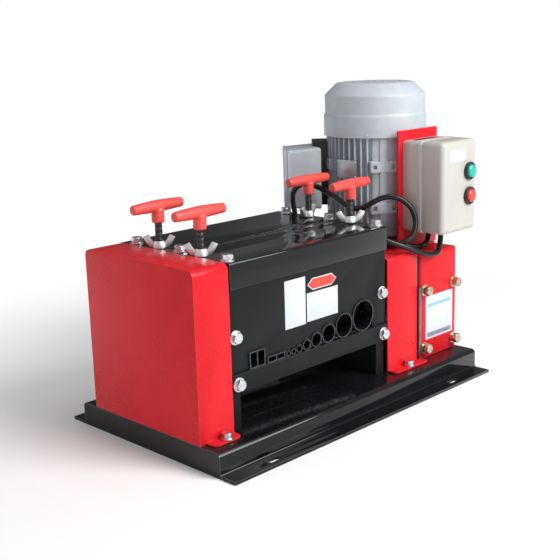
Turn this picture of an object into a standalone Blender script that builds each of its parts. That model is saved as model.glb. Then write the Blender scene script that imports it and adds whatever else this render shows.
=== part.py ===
# Bench wire stripping machine: a motor turns a worm gear, the worm gear turns a feed roller,
# and round blades on a shaft above the roller slit the cable as it is drawn through.
# X runs along the machine from the gear cover to the motor, Y from the front to the back, Z up.
# The origin is on the floor, under the middle of the machine's outline.

import math

import bmesh
import bpy
from mathutils import Matrix, Vector

mm = 0.001
gap = 0.3 * mm              # between pieces that touch
round_steps = 16            # sides of an ordinary round piece
fine_steps = 32             # sides of a large round piece
few_steps = 12              # sides of a small or hidden round piece

# Base: a folded sheet with a flange along the front and the back
base_length = 525 * mm
base_depth = 271 * mm
base_height = 31 * mm
base_sheet = 4 * mm
base_fold = 6 * mm
flange_width = 25.5 * mm
slot_length = 22 * mm
slot_width = 9 * mm
slot_inset = 76 * mm        # from the base's end to the slot's middle

# Sheet covers
cover_sheet = 2.5 * mm
cover_corner = 9 * mm
gear_cover_length = 55 * mm
gear_cover_setback = 1 * mm     # behind the front of the body
gear_cover_overlap = 2 * mm     # past the back of the body
gear_cover_height = 214 * mm
foot_reach = 17 * mm        # how far a cover's foot stands out on the base
foot_corner = 8 * mm
coupling_cover_length = 68 * mm
coupling_cover_height = 166 * mm
coupling_cover_front = 33.5 * mm
coupling_cover_depth = 120 * mm
coupling_cover_corner = 5 * mm

# Body between the two side plates
body_space = 1.7 * mm       # from the gear cover to the body
body_length = 295 * mm
body_front = 32.4 * mm
body_depth = 208 * mm
body_height = 213.4 * mm
side_plate = 16 * mm
top_sheet = 3 * mm
top_seam = 92 * mm          # from the body's front to the seam between the two top covers
lip_drop = 33 * mm
panel_sheet = 3 * mm
bar_height = 24 * mm
bar_depth = 6 * mm
bar_top = 74 * mm           # above the base
rear_panel_drop = 92 * mm

# Wire guide: a row of tubes, a pair of square tubes and a pair of tall slots
tube_sizes = [44 * mm, 34 * mm, 26 * mm, 20 * mm, 15 * mm, 11 * mm, 9 * mm, 8 * mm]
tube_wall = 1.5 * mm
tube_space = 1 * mm
tube_inset = 12 * mm        # from the right side plate to the first tube
tube_length = 22 * mm
tube_proud = 2 * mm         # in front of the front plate
square_tube_width = 16.5 * mm
square_tube_height = 9 * mm
square_tube_count = 2
tall_tube_width = 14 * mm
tall_tube_height = 22 * mm
tall_tube_count = 2
tall_tube_space = 5.5 * mm  # from the square tubes to the tall ones
guide_plate = 4 * mm
guide_rim = 2 * mm

# Rollers, blades and gears
front_station = 91 * mm     # from the base's front edge to the feed roller's axis
rear_station = 171 * mm
feed_radius = 22 * mm
press_space = 3 * mm        # between the two rear rollers
shaft_radius = 10 * mm
roller_space = 1.5 * mm     # from a roller to a side plate
cut_depth = 1.5 * mm
blade_width = 3 * mm
blade_tip = 0.8 * mm
sleeve_wall = 2.2 * mm
tooth_module = 2.5 * mm
blade_teeth = 31
draw_teeth = 22
gear_width = 12 * mm
gear_space = 4 * mm
shaft_tail = 4 * mm
lift = 3 * mm               # how far a pair of bearing blocks rises
block_width = 44 * mm
block_height = 44 * mm
coupling_radius = 18 * mm
coupling_length = 44 * mm

# Adjusters
screw_radius = 5 * mm
screw_seat = 8 * mm         # depth of the screw's end in its bearing block
handle_height = 54 * mm     # from the top cover to the middle of the cross bar
handle_length = 84 * mm
handle_middle_radius = 8 * mm
handle_end_radius = 6 * mm
neck_radius = 7.5 * mm
neck_drop = 21 * mm
neck_flare = 1.5 * mm
wing_span = 36 * mm
wing_height = 17 * mm
wing_sheet = 3 * mm
nut_radius = 8.5 * mm
nut_height = 9 * mm

# Stand and worm gear
stand_space = 9 * mm        # from the coupling cover to the stand
stand_length = 90 * mm
stand_front = 34 * mm
stand_depth = 198 * mm
stand_height = 158 * mm
stand_sheet = 3 * mm
worm_distance = 69 * mm     # between the axes of the worm and the worm wheel
worm_module = 3 * mm
worm_wheel_teeth = 30
worm_wheel_width = 16 * mm
worm_length = 50 * mm
case_wall = 3 * mm
case_space = 2 * mm         # from the worm wheel to the case
case_corner = 4 * mm
case_height = 126 * mm
stand_bolt_inset = 9 * mm
stand_bolt_low = 16 * mm
stand_bolt_rise = 88 * mm
stand_bolt_radius = 4 * mm
stand_bolt_nut = 6 * mm
stand_bolt_head = 5 * mm
hex_radius = 7.5 * mm

# Motor
motor_inset = 38 * mm       # from the stand's right side to the motor's axis
motor_flange_radius = 58 * mm
motor_flange_height = 15 * mm
motor_height = 157 * mm
motor_radius = 74 * mm
fin_depth = 8 * mm
fin_count = 30
stator_bore = 40 * mm
rotor_space = 0.7 * mm
motor_shaft_radius = 9 * mm
fan_cover_radius = 77.5 * mm
fan_cover_height = 75 * mm
fan_cover_overlap = 5 * mm
fan_cover_sheet = 1.5 * mm
fan_cover_chamfer = 18 * mm
fan_cover_step = 1 * mm
air_hole_radius = 4.5 * mm
air_ring_radii = (22 * mm, 42 * mm)
air_ring_counts = (5, 9)        # holes in each ring
fan_radius = 64 * mm
fan_height = 22 * mm
fan_blades = 7
fan_blade = 2 * mm
fan_hub = 18 * mm
fan_space = 6 * mm          # from the motor's top to the fan
pad_width = 43 * mm
pad_height = 17 * mm
pad_proud = 3 * mm          # in front of the fins
pad_turns = (233, 323)      # degrees from +X
motor_rim = 14 * mm
flange_step = 8 * mm        # the motor flange's chamfer, across and up
flange_chamfer = 5 * mm
rotor_inset = 22 * mm       # from the housing's ends to the rotor's

# Terminal box on the motor
terminal_reach = 62 * mm
terminal_width = 80 * mm
terminal_height = 96 * mm
terminal_low = 40 * mm      # from the motor's foot to the box
terminal_draft = 6 * mm
terminal_wall = 3 * mm
terminal_lid = 5 * mm
terminal_turn = math.radians(135)   # from +X
gland_radius = 8 * mm
gland_length = 10 * mm
terminal_gland_reach = 36 * mm      # from the fins to the glands
terminal_gland_sides = (24 * mm, -4 * mm)

# Switch box and its plate
plate_sheet = 3 * mm
plate_side = 9 * mm         # how far the plate shows beside the box
plate_above = 14 * mm
plate_tab = 11 * mm         # the foot that holds the plate on the stand
switch_width = 84 * mm
switch_height = 133 * mm
switch_depth = 71 * mm
switch_lid_depth = 23 * mm
switch_low = 28 * mm        # from the stand's top to the box
switch_corner = 7 * mm
switch_wall = 3 * mm
button_radius = 9.5 * mm
button_proud = 9 * mm
button_soft = 1.5 * mm
button_flange = 2.5 * mm    # behind the lid's wall
button_spacing = 36 * mm
button_side = 19 * mm       # from the box's right side to the buttons
button_drop = 46 * mm       # from the box's top to the upper button
collar_wall = 2.5 * mm
collar_height = 4 * mm
switch_gland_length = 5.5 * mm
switch_gland_side = 41 * mm         # from the box's left side
switch_gland_depths = (39.2 * mm, 17.6 * mm)

# Leads
lead_diameter = 8 * mm
lead_sides = 2
lead_straight = 4 * mm      # at each gland
lead_step = 20 * mm         # the longest straight stretch between two points
lead_turn = math.radians(24)
# the route of each lead between its glands, in mm from the base's left front corner
upper_route = [
    (388, 219.8, 219.5), (383, 217.5, 210.5), (373.5, 214.5, 206.5), (364.5, 212.3, 210.5),
    (359.6, 211.8, 220), (358.6, 212, 233), (357.8, 213, 247), (355.5, 214, 261), (355.5, 212.5, 274),
    (360, 207.5, 283.5), (368, 200.5, 286.5), (377, 192, 284.5), (384, 181, 279),
    (388, 163, 270), (387, 142, 261), (386, 122, 255.5), (389, 107, 257), (397, 96, 264),
    (406, 86, 270.5), (416, 75, 272.5), (426, 65, 268.5), (434, 56.5, 259), (438, 50.5, 246),
    (436.5, 47, 231.5), (428.5, 46.5, 217), (415, 51.5, 207.5), (402.5, 64, 203.5), (395, 83, 203.3),
    (388.5, 100, 205.5), (378, 111.5, 210.5), (366.5, 110.5, 217), (360, 98, 222.5), (359, 81, 225),
    (363.5, 64.5, 223.5), (372, 50, 218.5), (386, 38, 211.5), (403, 30, 203.5), (421, 26, 196),
    (440, 24.3, 190.3), (456, 24.6, 188.6), (466, 27.2, 190.2), (473.5, 31, 194), (479.5, 34.6, 197.5),
    (484.5, 37.4, 201.5),
]
lower_route = [
    (408, 238.5, 219.5), (404, 231.5, 210), (398.5, 219, 205), (394.5, 203, 203.3), (392.3, 186, 203.3),
    (394, 163, 203.3), (401, 140, 203.3), (407, 115, 203.3), (412.5, 92, 203.3), (421, 74, 203),
    (433, 62.5, 199.8), (447, 57.5, 196.3), (460, 56.3, 194.9), (472.1, 57.8, 194.9),
    (478.5, 59, 196.2), (483.6, 60.1, 199.7),
]

# Places that follow from the sizes above
body_left = gear_cover_length + body_space
body_right = body_left + body_length
inner_left = body_left + side_plate
inner_right = body_right - side_plate
body_back = body_front + body_depth
gear_cover_front = body_front + gear_cover_setback
gear_cover_back = body_back + gear_cover_overlap
body_top = base_height + body_height
cover_under = body_top - top_sheet
panel_front = body_front + top_sheet + gap
panel_back = panel_front + panel_sheet
side_front = panel_back + gap
side_back = body_back - panel_sheet - gap
wire_floor = base_height + bar_top
feed_z = wire_floor - feed_radius
blade_z = feed_z + blade_teeth * tooth_module
press_z = feed_z + draw_teeth * tooth_module
press_radius = press_z - wire_floor - press_space
plate_mid_left = body_left + side_plate / 2
plate_mid_right = body_right - side_plate / 2
coupling_cover_left = body_right + 2 * body_space
coupling_cover_right = coupling_cover_left + coupling_cover_length
stand_left = coupling_cover_right + stand_space
stand_right = stand_left + stand_length
coupling_middle = (coupling_cover_left + coupling_cover_right) / 2
inner_gear_left = body_left - gear_space - gear_width
outer_gear_left = inner_gear_left - gear_space - gear_width
idler_middle = (front_station + rear_station) / 2
idler_radius = (rear_station - front_station - draw_teeth * tooth_module) / 2
pin_radius = shaft_radius / 2
stand_top = base_height + stand_height
motor_x = stand_right - motor_inset
motor_y = front_station + worm_distance
motor_foot = stand_top + gap + motor_flange_height + gap
motor_top = motor_foot + motor_height
fan_cover_low = motor_top - fan_cover_overlap
fan_cover_top = fan_cover_low + fan_cover_height
plate_back = motor_y - fan_cover_radius - 2 * gap
plate_front = plate_back - plate_sheet
switch_back = plate_front - gap
switch_front = switch_back - switch_depth
switch_bottom = stand_top + switch_low
switch_top = switch_bottom + switch_height
switch_right = stand_right + plate_side
switch_left = switch_right - switch_width
lid_back = switch_front + switch_lid_depth
button_x = switch_right - button_side
reach_right = motor_x + fan_cover_radius * math.cos(math.pi / fine_steps)
origin_shift = Vector((-reach_right / 2, -base_depth / 2, 0))


def clear_scene():
    for thing in list(bpy.data.objects):
        bpy.data.objects.remove(thing, do_unlink=True)


def material(name, colour, roughness, metallic=0.0):
    made = bpy.data.materials.get(name)
    if made is None:
        made = bpy.data.materials.new(name)
        made.use_nodes = True
        shader = made.node_tree.nodes["Principled BSDF"]
        shader.inputs["Base Color"].default_value = (*colour, 1)
        shader.inputs["Roughness"].default_value = roughness
        shader.inputs["Metallic"].default_value = metallic
    return made


def black_paint():
    return material("black_paint", (0.012, 0.013, 0.013), 0.28)


def red_paint():
    return material("red_paint", (0.72, 0.028, 0.035), 0.35)


def red_plastic():
    return material("red_plastic", (0.68, 0.045, 0.04), 0.42)


def green_plastic():
    return material("green_plastic", (0.03, 0.42, 0.33), 0.4)


def cream_plastic():
    return material("cream_plastic", (0.62, 0.6, 0.54), 0.5)


def grey_paint():
    return material("grey_paint", (0.33, 0.37, 0.39), 0.45)


def steel():
    return material("steel", (0.45, 0.45, 0.45), 0.3, 1.0)


def zinc():
    return material("zinc", (0.7, 0.7, 0.7), 0.3, 1.0)


def black_rubber():
    return material("black_rubber", (0.015, 0.015, 0.016), 0.6)


# Solids in the machine's own places, before they get their name and origin

def raw(mesh_builder):
    mesh = bpy.data.meshes.new("raw")
    bmesh.ops.recalc_face_normals(mesh_builder, faces=mesh_builder.faces)
    mesh_builder.to_mesh(mesh)
    mesh_builder.free()
    thing = bpy.data.objects.new("raw", mesh)
    bpy.context.collection.objects.link(thing)
    return thing


def along(axis, across, up, distance):
    if axis == "x":
        return Vector((distance, across, up))
    if axis == "y":
        return Vector((across, distance, up))
    return Vector((across, up, distance))


def prism(outline, axis, start, end):
    # a flat outline pushed along an axis; its two numbers are the other two axes in order
    builder = bmesh.new()
    near = [builder.verts.new(along(axis, across, up, start)) for across, up in outline]
    far = [builder.verts.new(along(axis, across, up, end)) for across, up in outline]
    builder.faces.new(near)
    builder.faces.new(far)
    for index in range(len(outline)):
        follow = (index + 1) % len(outline)
        builder.faces.new((near[index], near[follow], far[follow], far[index]))
    return raw(builder)


def box(low, high):
    return prism([(low[1], low[2]), (high[1], low[2]), (high[1], high[2]), (low[1], high[2])],
                 "x", low[0], high[0])


def rounded_box(low, high, radius, square=(), steps=3):
    # square names the faces whose edges stay sharp, such as "+x"
    thing = box(low, high)
    builder = bmesh.new()
    builder.from_mesh(thing.data)
    bpy.data.objects.remove(thing)
    sides = {"-x": (0, low[0]), "+x": (0, high[0]), "-y": (1, low[1]), "+y": (1, high[1]),
             "-z": (2, low[2]), "+z": (2, high[2])}

    def is_square(edge):
        for side in square:
            axis, place = sides[side]
            if all(abs(vert.co[axis] - place) < 0.01 * mm for vert in edge.verts):
                return True
        return False

    edges = [edge for edge in builder.edges if not is_square(edge)]
    bmesh.ops.bevel(builder, geom=edges, offset=radius, segments=steps, profile=0.5,
                    affect="EDGES", clamp_overlap=True)
    return raw(builder)


def turned(profile, axis, centre, steps=round_steps):
    # a closed profile of (radius, distance along the axis) points, spun about the axis
    builder = bmesh.new()
    rings = []
    for radius, distance in profile:
        if radius < 0.01 * mm:
            rings.append([builder.verts.new(along(axis, centre[0], centre[1], distance))])
            continue
        ring = []
        for step in range(steps):
            angle = 2 * math.pi * (step + 0.5) / steps
            ring.append(builder.verts.new(along(axis, centre[0] + radius * math.cos(angle),
                                                centre[1] + radius * math.sin(angle), distance)))
        rings.append(ring)
    for index in range(len(rings)):
        first, second = rings[index], rings[(index + 1) % len(rings)]
        if len(first) == 1 and len(second) == 1:
            continue
        for step in range(steps):
            follow = (step + 1) % steps
            if len(first) == 1:
                builder.faces.new((first[0], second[step], second[follow]))
            elif len(second) == 1:
                builder.faces.new((first[step], first[follow], second[0]))
            else:
                builder.faces.new((first[step], first[follow], second[follow], second[step]))
    return raw(builder)


def cylinder(radius, axis, centre, start, end, steps=round_steps):
    return turned([(0, start), (radius, start), (radius, end), (0, end)], axis, centre, steps)


def ring(outer, inner, axis, centre, start, end, steps=round_steps):
    return turned([(inner, start), (outer, start), (outer, end), (inner, end)], axis, centre, steps)


def combine(thing, others, operation):
    for other in others:
        modifier = thing.modifiers.new("combine", "BOOLEAN")
        modifier.operation = operation
        modifier.solver = "EXACT"
        modifier.object = other
        bpy.context.view_layer.update()
        graph = bpy.context.evaluated_depsgraph_get()
        mesh = bpy.data.meshes.new_from_object(thing.evaluated_get(graph))
        thing.modifiers.clear()
        thing.data = mesh
        bpy.data.objects.remove(other, do_unlink=True)
    return thing


def cut(thing, *others):
    return combine(thing, others, "DIFFERENCE")


def fuse(thing, *others):
    return combine(thing, others, "UNION")


def turn_about(thing, centre, angle, axis="Z"):
    matrix = Matrix.Translation(centre) @ Matrix.Rotation(angle, 4, axis) @ Matrix.Translation(-centre)
    thing.data.transform(matrix)
    return thing


def finish(thing, name, finish_material, pivot=None, parent=None):
    # names the piece, puts its origin on its pivot and moves it to the machine's origin
    if pivot is None:
        corners = [Vector(corner) for corner in thing.bound_box]
        pivot = sum(corners, Vector()) / len(corners)
    pivot = Vector(pivot)
    thing.data.transform(Matrix.Translation(-pivot))
    thing.name = name
    thing.data.name = name
    thing.data.materials.clear()
    thing.data.materials.append(finish_material)
    thing.data.shade_smooth()
    thing.data.set_sharp_from_angle(angle=math.radians(35))
    thing.location = pivot + origin_shift
    if parent is not None:
        bpy.context.view_layer.update()
        thing.parent = parent
        thing.matrix_parent_inverse = parent.matrix_world.inverted()
    return thing


def joint_empty(name, place, parent=None):
    empty = bpy.data.objects.new(name, None)
    bpy.context.collection.objects.link(empty)
    empty.location = Vector(place) + origin_shift
    if parent is not None:
        bpy.context.view_layer.update()
        empty.parent = parent
        empty.matrix_parent_inverse = parent.matrix_world.inverted()
    bpy.context.view_layer.update()
    return empty


def arc(centre, radius, start, end, steps):
    points = []
    for step in range(steps + 1):
        angle = math.radians(start + (end - start) * step / steps)
        points.append((centre[0] + radius * math.cos(angle), centre[1] + radius * math.sin(angle)))
    return points


def slot_outline(centre, length, width):
    half = (length - width) / 2
    right = arc((centre[0] + half, centre[1]), width / 2, -90, 90, 6)
    left = arc((centre[0] - half, centre[1]), width / 2, 90, 270, 6)
    return right + left


def hexagon(centre, radius):
    return arc(centre, radius, 0, 300, 5)


# Base and covers

def base_plate():
    # the folded section from front to back, outside line first, then the inside line back
    sheet = base_sheet
    inner = base_fold - sheet
    top = base_height
    front = [(-flange_width, 0), (-flange_width, sheet)]
    front += arc((-inner, sheet + inner), inner, -90, 0, 3)
    front += arc((base_fold, top - base_fold), base_fold, 180, 90, 4)
    back = [(base_depth - across, up) for across, up in reversed(front)]
    inside_front = arc((base_fold, top - base_fold), inner, 90, 180, 3)
    inside_front += [(sheet, 0)]
    inside_back = [(base_depth - across, up) for across, up in reversed(inside_front)]
    outline = front + back + inside_back + inside_front
    plate = prism(outline, "x", 0, base_length)
    under = top - sheet / 2
    ends = [box((start, sheet / 2, 0), (start + sheet, base_depth - sheet / 2, under))
            for start in (0, base_length - sheet)]
    plate = fuse(plate, *ends)
    slots = []
    for across in (slot_inset, base_length - slot_inset):
        for deep in (-flange_width / 2, base_depth + flange_width / 2):
            slots.append(prism(slot_outline((across, deep), slot_length, slot_width),
                               "z", -sheet, 2 * sheet))
    finish(cut(plate, *slots), "base_plate", black_paint())


def foot(left, right, seat, reach, toward):
    # a tab on the base with its two outer corners rounded; toward is -1 for the front, 1 for the back
    tip = seat + toward * reach
    corner = tip - toward * foot_corner
    outline = [(left, seat), (right, seat)]
    outline += arc((right - foot_corner, corner), foot_corner, 0, toward * 90, 3)
    outline += arc((left + foot_corner, corner), foot_corner, toward * 90, toward * 180, 3)
    return prism(outline, "z", base_height + gap, base_height + gap + cover_sheet)


def bent_cover(low, high, corner, hollow_left):
    # a sheet bent over front, top and back, hollow from hollow_left to its right end
    def section(inset, under):
        front = low[1] + inset
        back = high[1] - inset
        top = high[2] - inset
        bend = corner - inset
        outline = [(front, under), (back, under)]
        outline += arc((back - bend, top - bend), bend, 0, 90, 4)
        outline += arc((front + bend, top - bend), bend, 90, 180, 4)
        return outline

    shell = prism(section(0, low[2]), "x", low[0], high[0])
    under = low[2] - cover_sheet
    return cut(shell, prism(section(cover_sheet, under), "x", hollow_left, high[0] + cover_sheet))


def gear_cover():
    low = (0, gear_cover_front, base_height + gap)
    high = (gear_cover_length, gear_cover_back, base_height + gear_cover_height)
    shell = bent_cover(low, high, cover_corner, low[0] + cover_sheet)
    front_foot = foot(cover_corner, high[0] - gap, low[1] + cover_sheet / 2, foot_reach, -1)
    back_foot = foot(cover_corner, high[0] - gap, high[1] - cover_sheet / 2, foot_reach, 1)
    finish(fuse(shell, front_foot, back_foot), "gear_cover", red_paint())


def coupling_cover():
    low = (coupling_cover_left, coupling_cover_front, base_height + gap)
    high = (coupling_cover_right, coupling_cover_front + coupling_cover_depth,
            base_height + coupling_cover_height)
    shell = bent_cover(low, high, coupling_cover_corner, low[0] - cover_sheet)
    front_foot = foot(low[0] + gap, high[0] + stand_space, low[1] + cover_sheet / 2, foot_reach, -1)
    finish(fuse(shell, front_foot), "coupling_cover", red_paint())


# Body

def adjuster_places():
    for side, across in (("left", plate_mid_left), ("right", plate_mid_right)):
        for row, deep, seat in (("front", front_station, blade_z), ("rear", rear_station, press_z)):
            yield row, side, across, deep, seat + block_height / 2


def side_plates():
    for side, start in (("left", body_left), ("right", inner_right)):
        end = start + side_plate
        middle = (start + end) / 2
        plate = box((start, side_front, base_height + gap), (end, side_back, cover_under - gap))
        for deep, height in ((front_station, blade_z), (rear_station, press_z)):
            half = block_width / 2 + gap
            window = box((start - side_plate, deep - half, height - block_height / 2 - gap),
                         (end + side_plate, deep + half, height + block_height / 2 + lift + gap))
            plate = cut(plate, window)
            bore = cylinder(screw_radius + gap, "z", (middle, deep), height, cover_under + side_plate)
            shaft = cylinder(shaft_radius + gap, "x", (deep, feed_z), start - side_plate, end + side_plate)
            plate = cut(plate, bore, shaft)
        finish(plate, "side_plate_" + side, black_paint())


def top_covers():
    seam = body_front + top_seam
    lip = [(body_front, body_top - lip_drop), (body_front + top_sheet, body_top - lip_drop),
           (body_front + top_sheet, cover_under), (seam - gap, cover_under), (seam - gap, body_top)]
    lip += arc((body_front + top_sheet, body_top - top_sheet), top_sheet, 90, 180, 3)
    front_cover = prism(lip, "x", body_left, body_right)
    rear_cover = box((body_left, seam + gap, cover_under), (body_right, body_back, body_top))
    for row, side, across, deep, seat in adjuster_places():
        bore = cylinder(screw_radius + gap, "z", (across, deep), cover_under - lift, body_top + lift)
        if row == "front":
            front_cover = cut(front_cover, bore)
        else:
            rear_cover = cut(rear_cover, bore)
    finish(front_cover, "top_cover_front", black_paint())
    finish(rear_cover, "top_cover_rear", black_paint())


def tube_places():
    # the round tubes from the right: middle, radius
    edge = inner_right - tube_inset
    for size in tube_sizes:
        yield edge - size / 2, size / 2
        edge -= size + tube_space


def guide_openings():
    # every opening of the guide from the right: left, right, height, is it round
    spots = [(middle - radius, middle + radius, 2 * radius, True) for middle, radius in tube_places()]
    edge = spots[-1][0] - 2 * tube_space
    for count, width, height in ((square_tube_count, square_tube_width, square_tube_height),
                                 (tall_tube_count, tall_tube_width, tall_tube_height)):
        for index in range(count):
            spots.append((edge - width, edge, height, False))
            edge -= width - tube_wall
        edge -= tall_tube_space
    return spots


def guide_outline(spot, wall, floor_drop):
    # the shape of one tube's outside or inside seen from the front
    left, right, height, is_round = spot
    floor = wire_floor + gap
    if is_round:
        middle = (left + right) / 2
        radius = (right - left) / 2
        centre = floor + radius
        if floor_drop:
            top = arc((middle, centre), radius - wall, 0, 180, 10)
            return top + [(middle - radius + wall, floor - floor_drop),
                          (middle + radius - wall, floor - floor_drop)]
        sides = 20 if radius > flange_width / 2 else few_steps
        return arc((middle, centre), radius - wall, 0, 360 - 360 / sides, sides - 1)
    low = floor + wall - floor_drop
    return [(left + wall, low), (right - wall, low), (right - wall, floor + height - wall),
            (left + wall, floor + height - wall)]


def front_panel():
    plate = box((body_left, panel_front, wire_floor + gap), (body_right, panel_back, cover_under - gap))
    for spot in guide_openings():
        plate = cut(plate, prism(guide_outline(spot, -gap, bar_height), "y",
                                 panel_front - panel_sheet, panel_back + panel_sheet))
    finish(plate, "front_plate", black_paint())
    bar = box((body_left, panel_back - bar_depth, wire_floor - bar_height),
              (body_right, panel_back, wire_floor))
    finish(bar, "guide_bar", black_paint())
    rear = box((body_left, side_back + gap, cover_under - gap - rear_panel_drop),
               (body_right, body_back, cover_under - gap))
    finish(rear, "rear_plate", black_paint())


def wire_guide():
    # the tubes stand in one strip behind the front plate, which follows their tops
    front = panel_front - tube_proud
    back = front + tube_length
    strip_front = back - 2 * guide_plate
    spots = guide_openings()
    floor = wire_floor + gap
    outline = [(spots[-1][0] - guide_rim, floor), (spots[0][1] + guide_rim, floor)]
    for left, right, height, is_round in spots:
        outline += [(right - tube_wall, floor + height + guide_rim),
                    (left + tube_wall, floor + height + guide_rim)]
    outline[2] = (spots[0][1] + guide_rim, outline[2][1])
    outline[-1] = (spots[-1][0] - guide_rim, outline[-1][1])
    guide = prism(outline, "y", strip_front, strip_front + guide_plate)
    for spot in spots:
        guide = fuse(guide, prism(guide_outline(spot, 0, 0), "y", front, back))
    for spot in spots:
        guide = cut(guide, prism(guide_outline(spot, tube_wall, 0), "y", front - tube_wall, back + tube_wall))
    finish(guide, "wire_guide", black_paint())


# Rollers, blades and gears

def gear_outline(teeth, pitch_radius, module, centre):
    # tapered teeth with a little play, four points each
    pitch = 2 * math.pi / teeth
    tip = pitch_radius + 0.8 * module
    root = pitch_radius - 1.2 * module
    points = []
    for tooth in range(teeth):
        middle = pitch * tooth
        for radius, half in ((root, 0.31), (tip, 0.1), (tip, -0.1), (root, -0.31)):
            angle = middle - half * pitch
            points.append((centre[0] + radius * math.cos(angle), centre[1] + radius * math.sin(angle)))
    return points


def turned_outline(points, centre, angle):
    turned_points = []
    for across, up in points:
        offset_across, offset_up = across - centre[0], up - centre[1]
        turned_points.append((centre[0] + offset_across * math.cos(angle) - offset_up * math.sin(angle),
                              centre[1] + offset_across * math.sin(angle) + offset_up * math.cos(angle)))
    return turned_points


def gear(teeth, centre, start, phase, bore):
    # phase is the direction of the first tooth's middle
    end = start + gear_width
    outline = turned_outline(gear_outline(teeth, teeth * tooth_module / 2, tooth_module, centre),
                             centre, phase)
    blank = prism(outline, "x", start, end)
    return cut(blank, cylinder(bore, "x", centre, start - gear_width, end + gear_width))


def rollers(feed, draw, front_spin, rear_spin):
    tail = outer_gear_left - shaft_tail
    start = inner_left + roller_space
    end = inner_right - roller_space
    feed_end = coupling_middle - gap
    roller = turned([(0, tail), (shaft_radius, tail), (shaft_radius, start), (feed_radius, start),
                     (feed_radius, end), (shaft_radius, end), (shaft_radius, feed_end), (0, feed_end)],
                    "x", (front_station, feed_z))
    finish(roller, "feed_roller", steel(), (end, front_station, feed_z), feed)
    stop = body_right - gap
    shaft = cylinder(shaft_radius, "x", (front_station, blade_z), tail, stop)
    finish(shaft, "blade_shaft", steel(), (end, front_station, blade_z), front_spin)
    tail = inner_gear_left - shaft_tail
    for name, radius, height, parent in (("draw_roller", feed_radius, feed_z, draw),
                                         ("press_roller", press_radius, press_z, rear_spin)):
        roller = turned([(0, tail), (shaft_radius, tail), (shaft_radius, start), (radius, start),
                         (radius, end), (shaft_radius, end), (shaft_radius, stop), (0, stop)],
                        "x", (rear_station, height))
        finish(roller, name, steel(), (end, rear_station, height), parent)
    cutter_set(front_spin)


def cutter_set(parent):
    # one sleeve with a round blade over each opening of the guide
    start = inner_left + roller_space
    end = inner_right - roller_space
    sleeve = shaft_radius + gap + sleeve_wall
    profile = [(shaft_radius + gap, start), (sleeve, start)]
    for left, right, height, is_round in reversed(guide_openings()):
        middle = (left + right) / 2
        blade = blade_z - (wire_floor + gap + height - tube_wall) + cut_depth
        blade = max(blade, sleeve + blade_width / 2)
        profile += [(sleeve, middle - blade_width / 2), (blade, middle - blade_tip / 2),
                    (blade, middle + blade_tip / 2), (sleeve, middle + blade_width / 2)]
    profile += [(sleeve, end), (shaft_radius + gap, end)]
    finish(turned(profile, "x", (front_station, blade_z)), "cutter_set", steel(),
           (end, front_station, blade_z), parent)


def gears(feed, blade, idler, draw, press):
    # tooth phases put the teeth in mesh at rest, each pair along the line between its axes
    bore = shaft_radius + gap
    up, back, ahead, down = math.pi / 2, 0.0, math.pi, -math.pi / 2
    half_blade = math.pi / blade_teeth
    half_draw = math.pi / draw_teeth
    idler_teeth = round(idler_radius * 2 / tooth_module)
    half_idler = math.pi / idler_teeth
    feed_centre = (front_station, feed_z)
    cluster = gear(blade_teeth, feed_centre, outer_gear_left, up, bore)
    pinion = gear(draw_teeth, feed_centre, inner_gear_left, back, bore)
    hub = ring(shaft_radius + 2 * sleeve_wall, bore, "x", feed_centre, outer_gear_left + gap,
               inner_gear_left + gear_width - gap)
    cluster = fuse(cluster, hub, pinion)
    finish(cluster, "feed_gear", steel(), (outer_gear_left, front_station, feed_z), feed)
    blade_gear = gear(blade_teeth, (front_station, blade_z), outer_gear_left, down + half_blade, bore)
    finish(blade_gear, "blade_gear", steel(), (outer_gear_left, front_station, blade_z), blade)
    idler_gear = gear(idler_teeth, (idler_middle, feed_z), inner_gear_left, ahead + half_idler,
                      pin_radius + gap)
    finish(idler_gear, "idler_gear", steel(), (inner_gear_left, idler_middle, feed_z), idler)
    # the idler turns its own far side by half its teeth, which sets the draw gear's phase
    far_phase = half_idler + math.pi
    far_offset = math.remainder(far_phase, 2 * half_idler) / (2 * half_idler)
    draw_phase = ahead + half_draw - far_offset * 2 * half_draw
    draw_gear = gear(draw_teeth, (rear_station, feed_z), inner_gear_left, draw_phase, bore)
    finish(draw_gear, "draw_gear", steel(), (inner_gear_left, rear_station, feed_z), draw)
    top_offset = math.remainder(up - draw_phase, 2 * half_draw)
    press_gear = gear(draw_teeth, (rear_station, press_z), inner_gear_left, down + half_draw + top_offset,
                      bore)
    finish(press_gear, "press_gear", steel(), (inner_gear_left, rear_station, press_z), press)
    pin = cylinder(pin_radius, "x", (idler_middle, feed_z), inner_gear_left - gear_space / 2, body_left - gap)
    head = cylinder(1.6 * pin_radius, "x", (idler_middle, feed_z), inner_gear_left + gear_width + gap,
                    body_left - gap)
    finish(fuse(pin, head), "idler_pin", steel())


def bearing_blocks(front_lift, rear_lift):
    for row, side, across, deep, top in adjuster_places():
        height = top - block_height / 2
        block = box((across - side_plate / 2, deep - block_width / 2, height - block_height / 2),
                    (across + side_plate / 2, deep + block_width / 2, top))
        bore = cylinder(shaft_radius + gap, "x", (deep, height), across - side_plate, across + side_plate)
        seat = cylinder(screw_radius + gap, "z", (across, deep), top - screw_seat - gap, top + side_plate)
        name = row + "_block_" + side
        finish(cut(block, bore, seat), name, steel(), None, front_lift if row == "front" else rear_lift)


def shaft_coupling(parent):
    sleeve = ring(coupling_radius, shaft_radius + gap, "x", (front_station, feed_z),
                  coupling_middle - coupling_length / 2, coupling_middle + coupling_length / 2)
    finish(sleeve, "shaft_coupling", steel(), (coupling_middle, front_station, feed_z), parent)


# Adjusters

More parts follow.
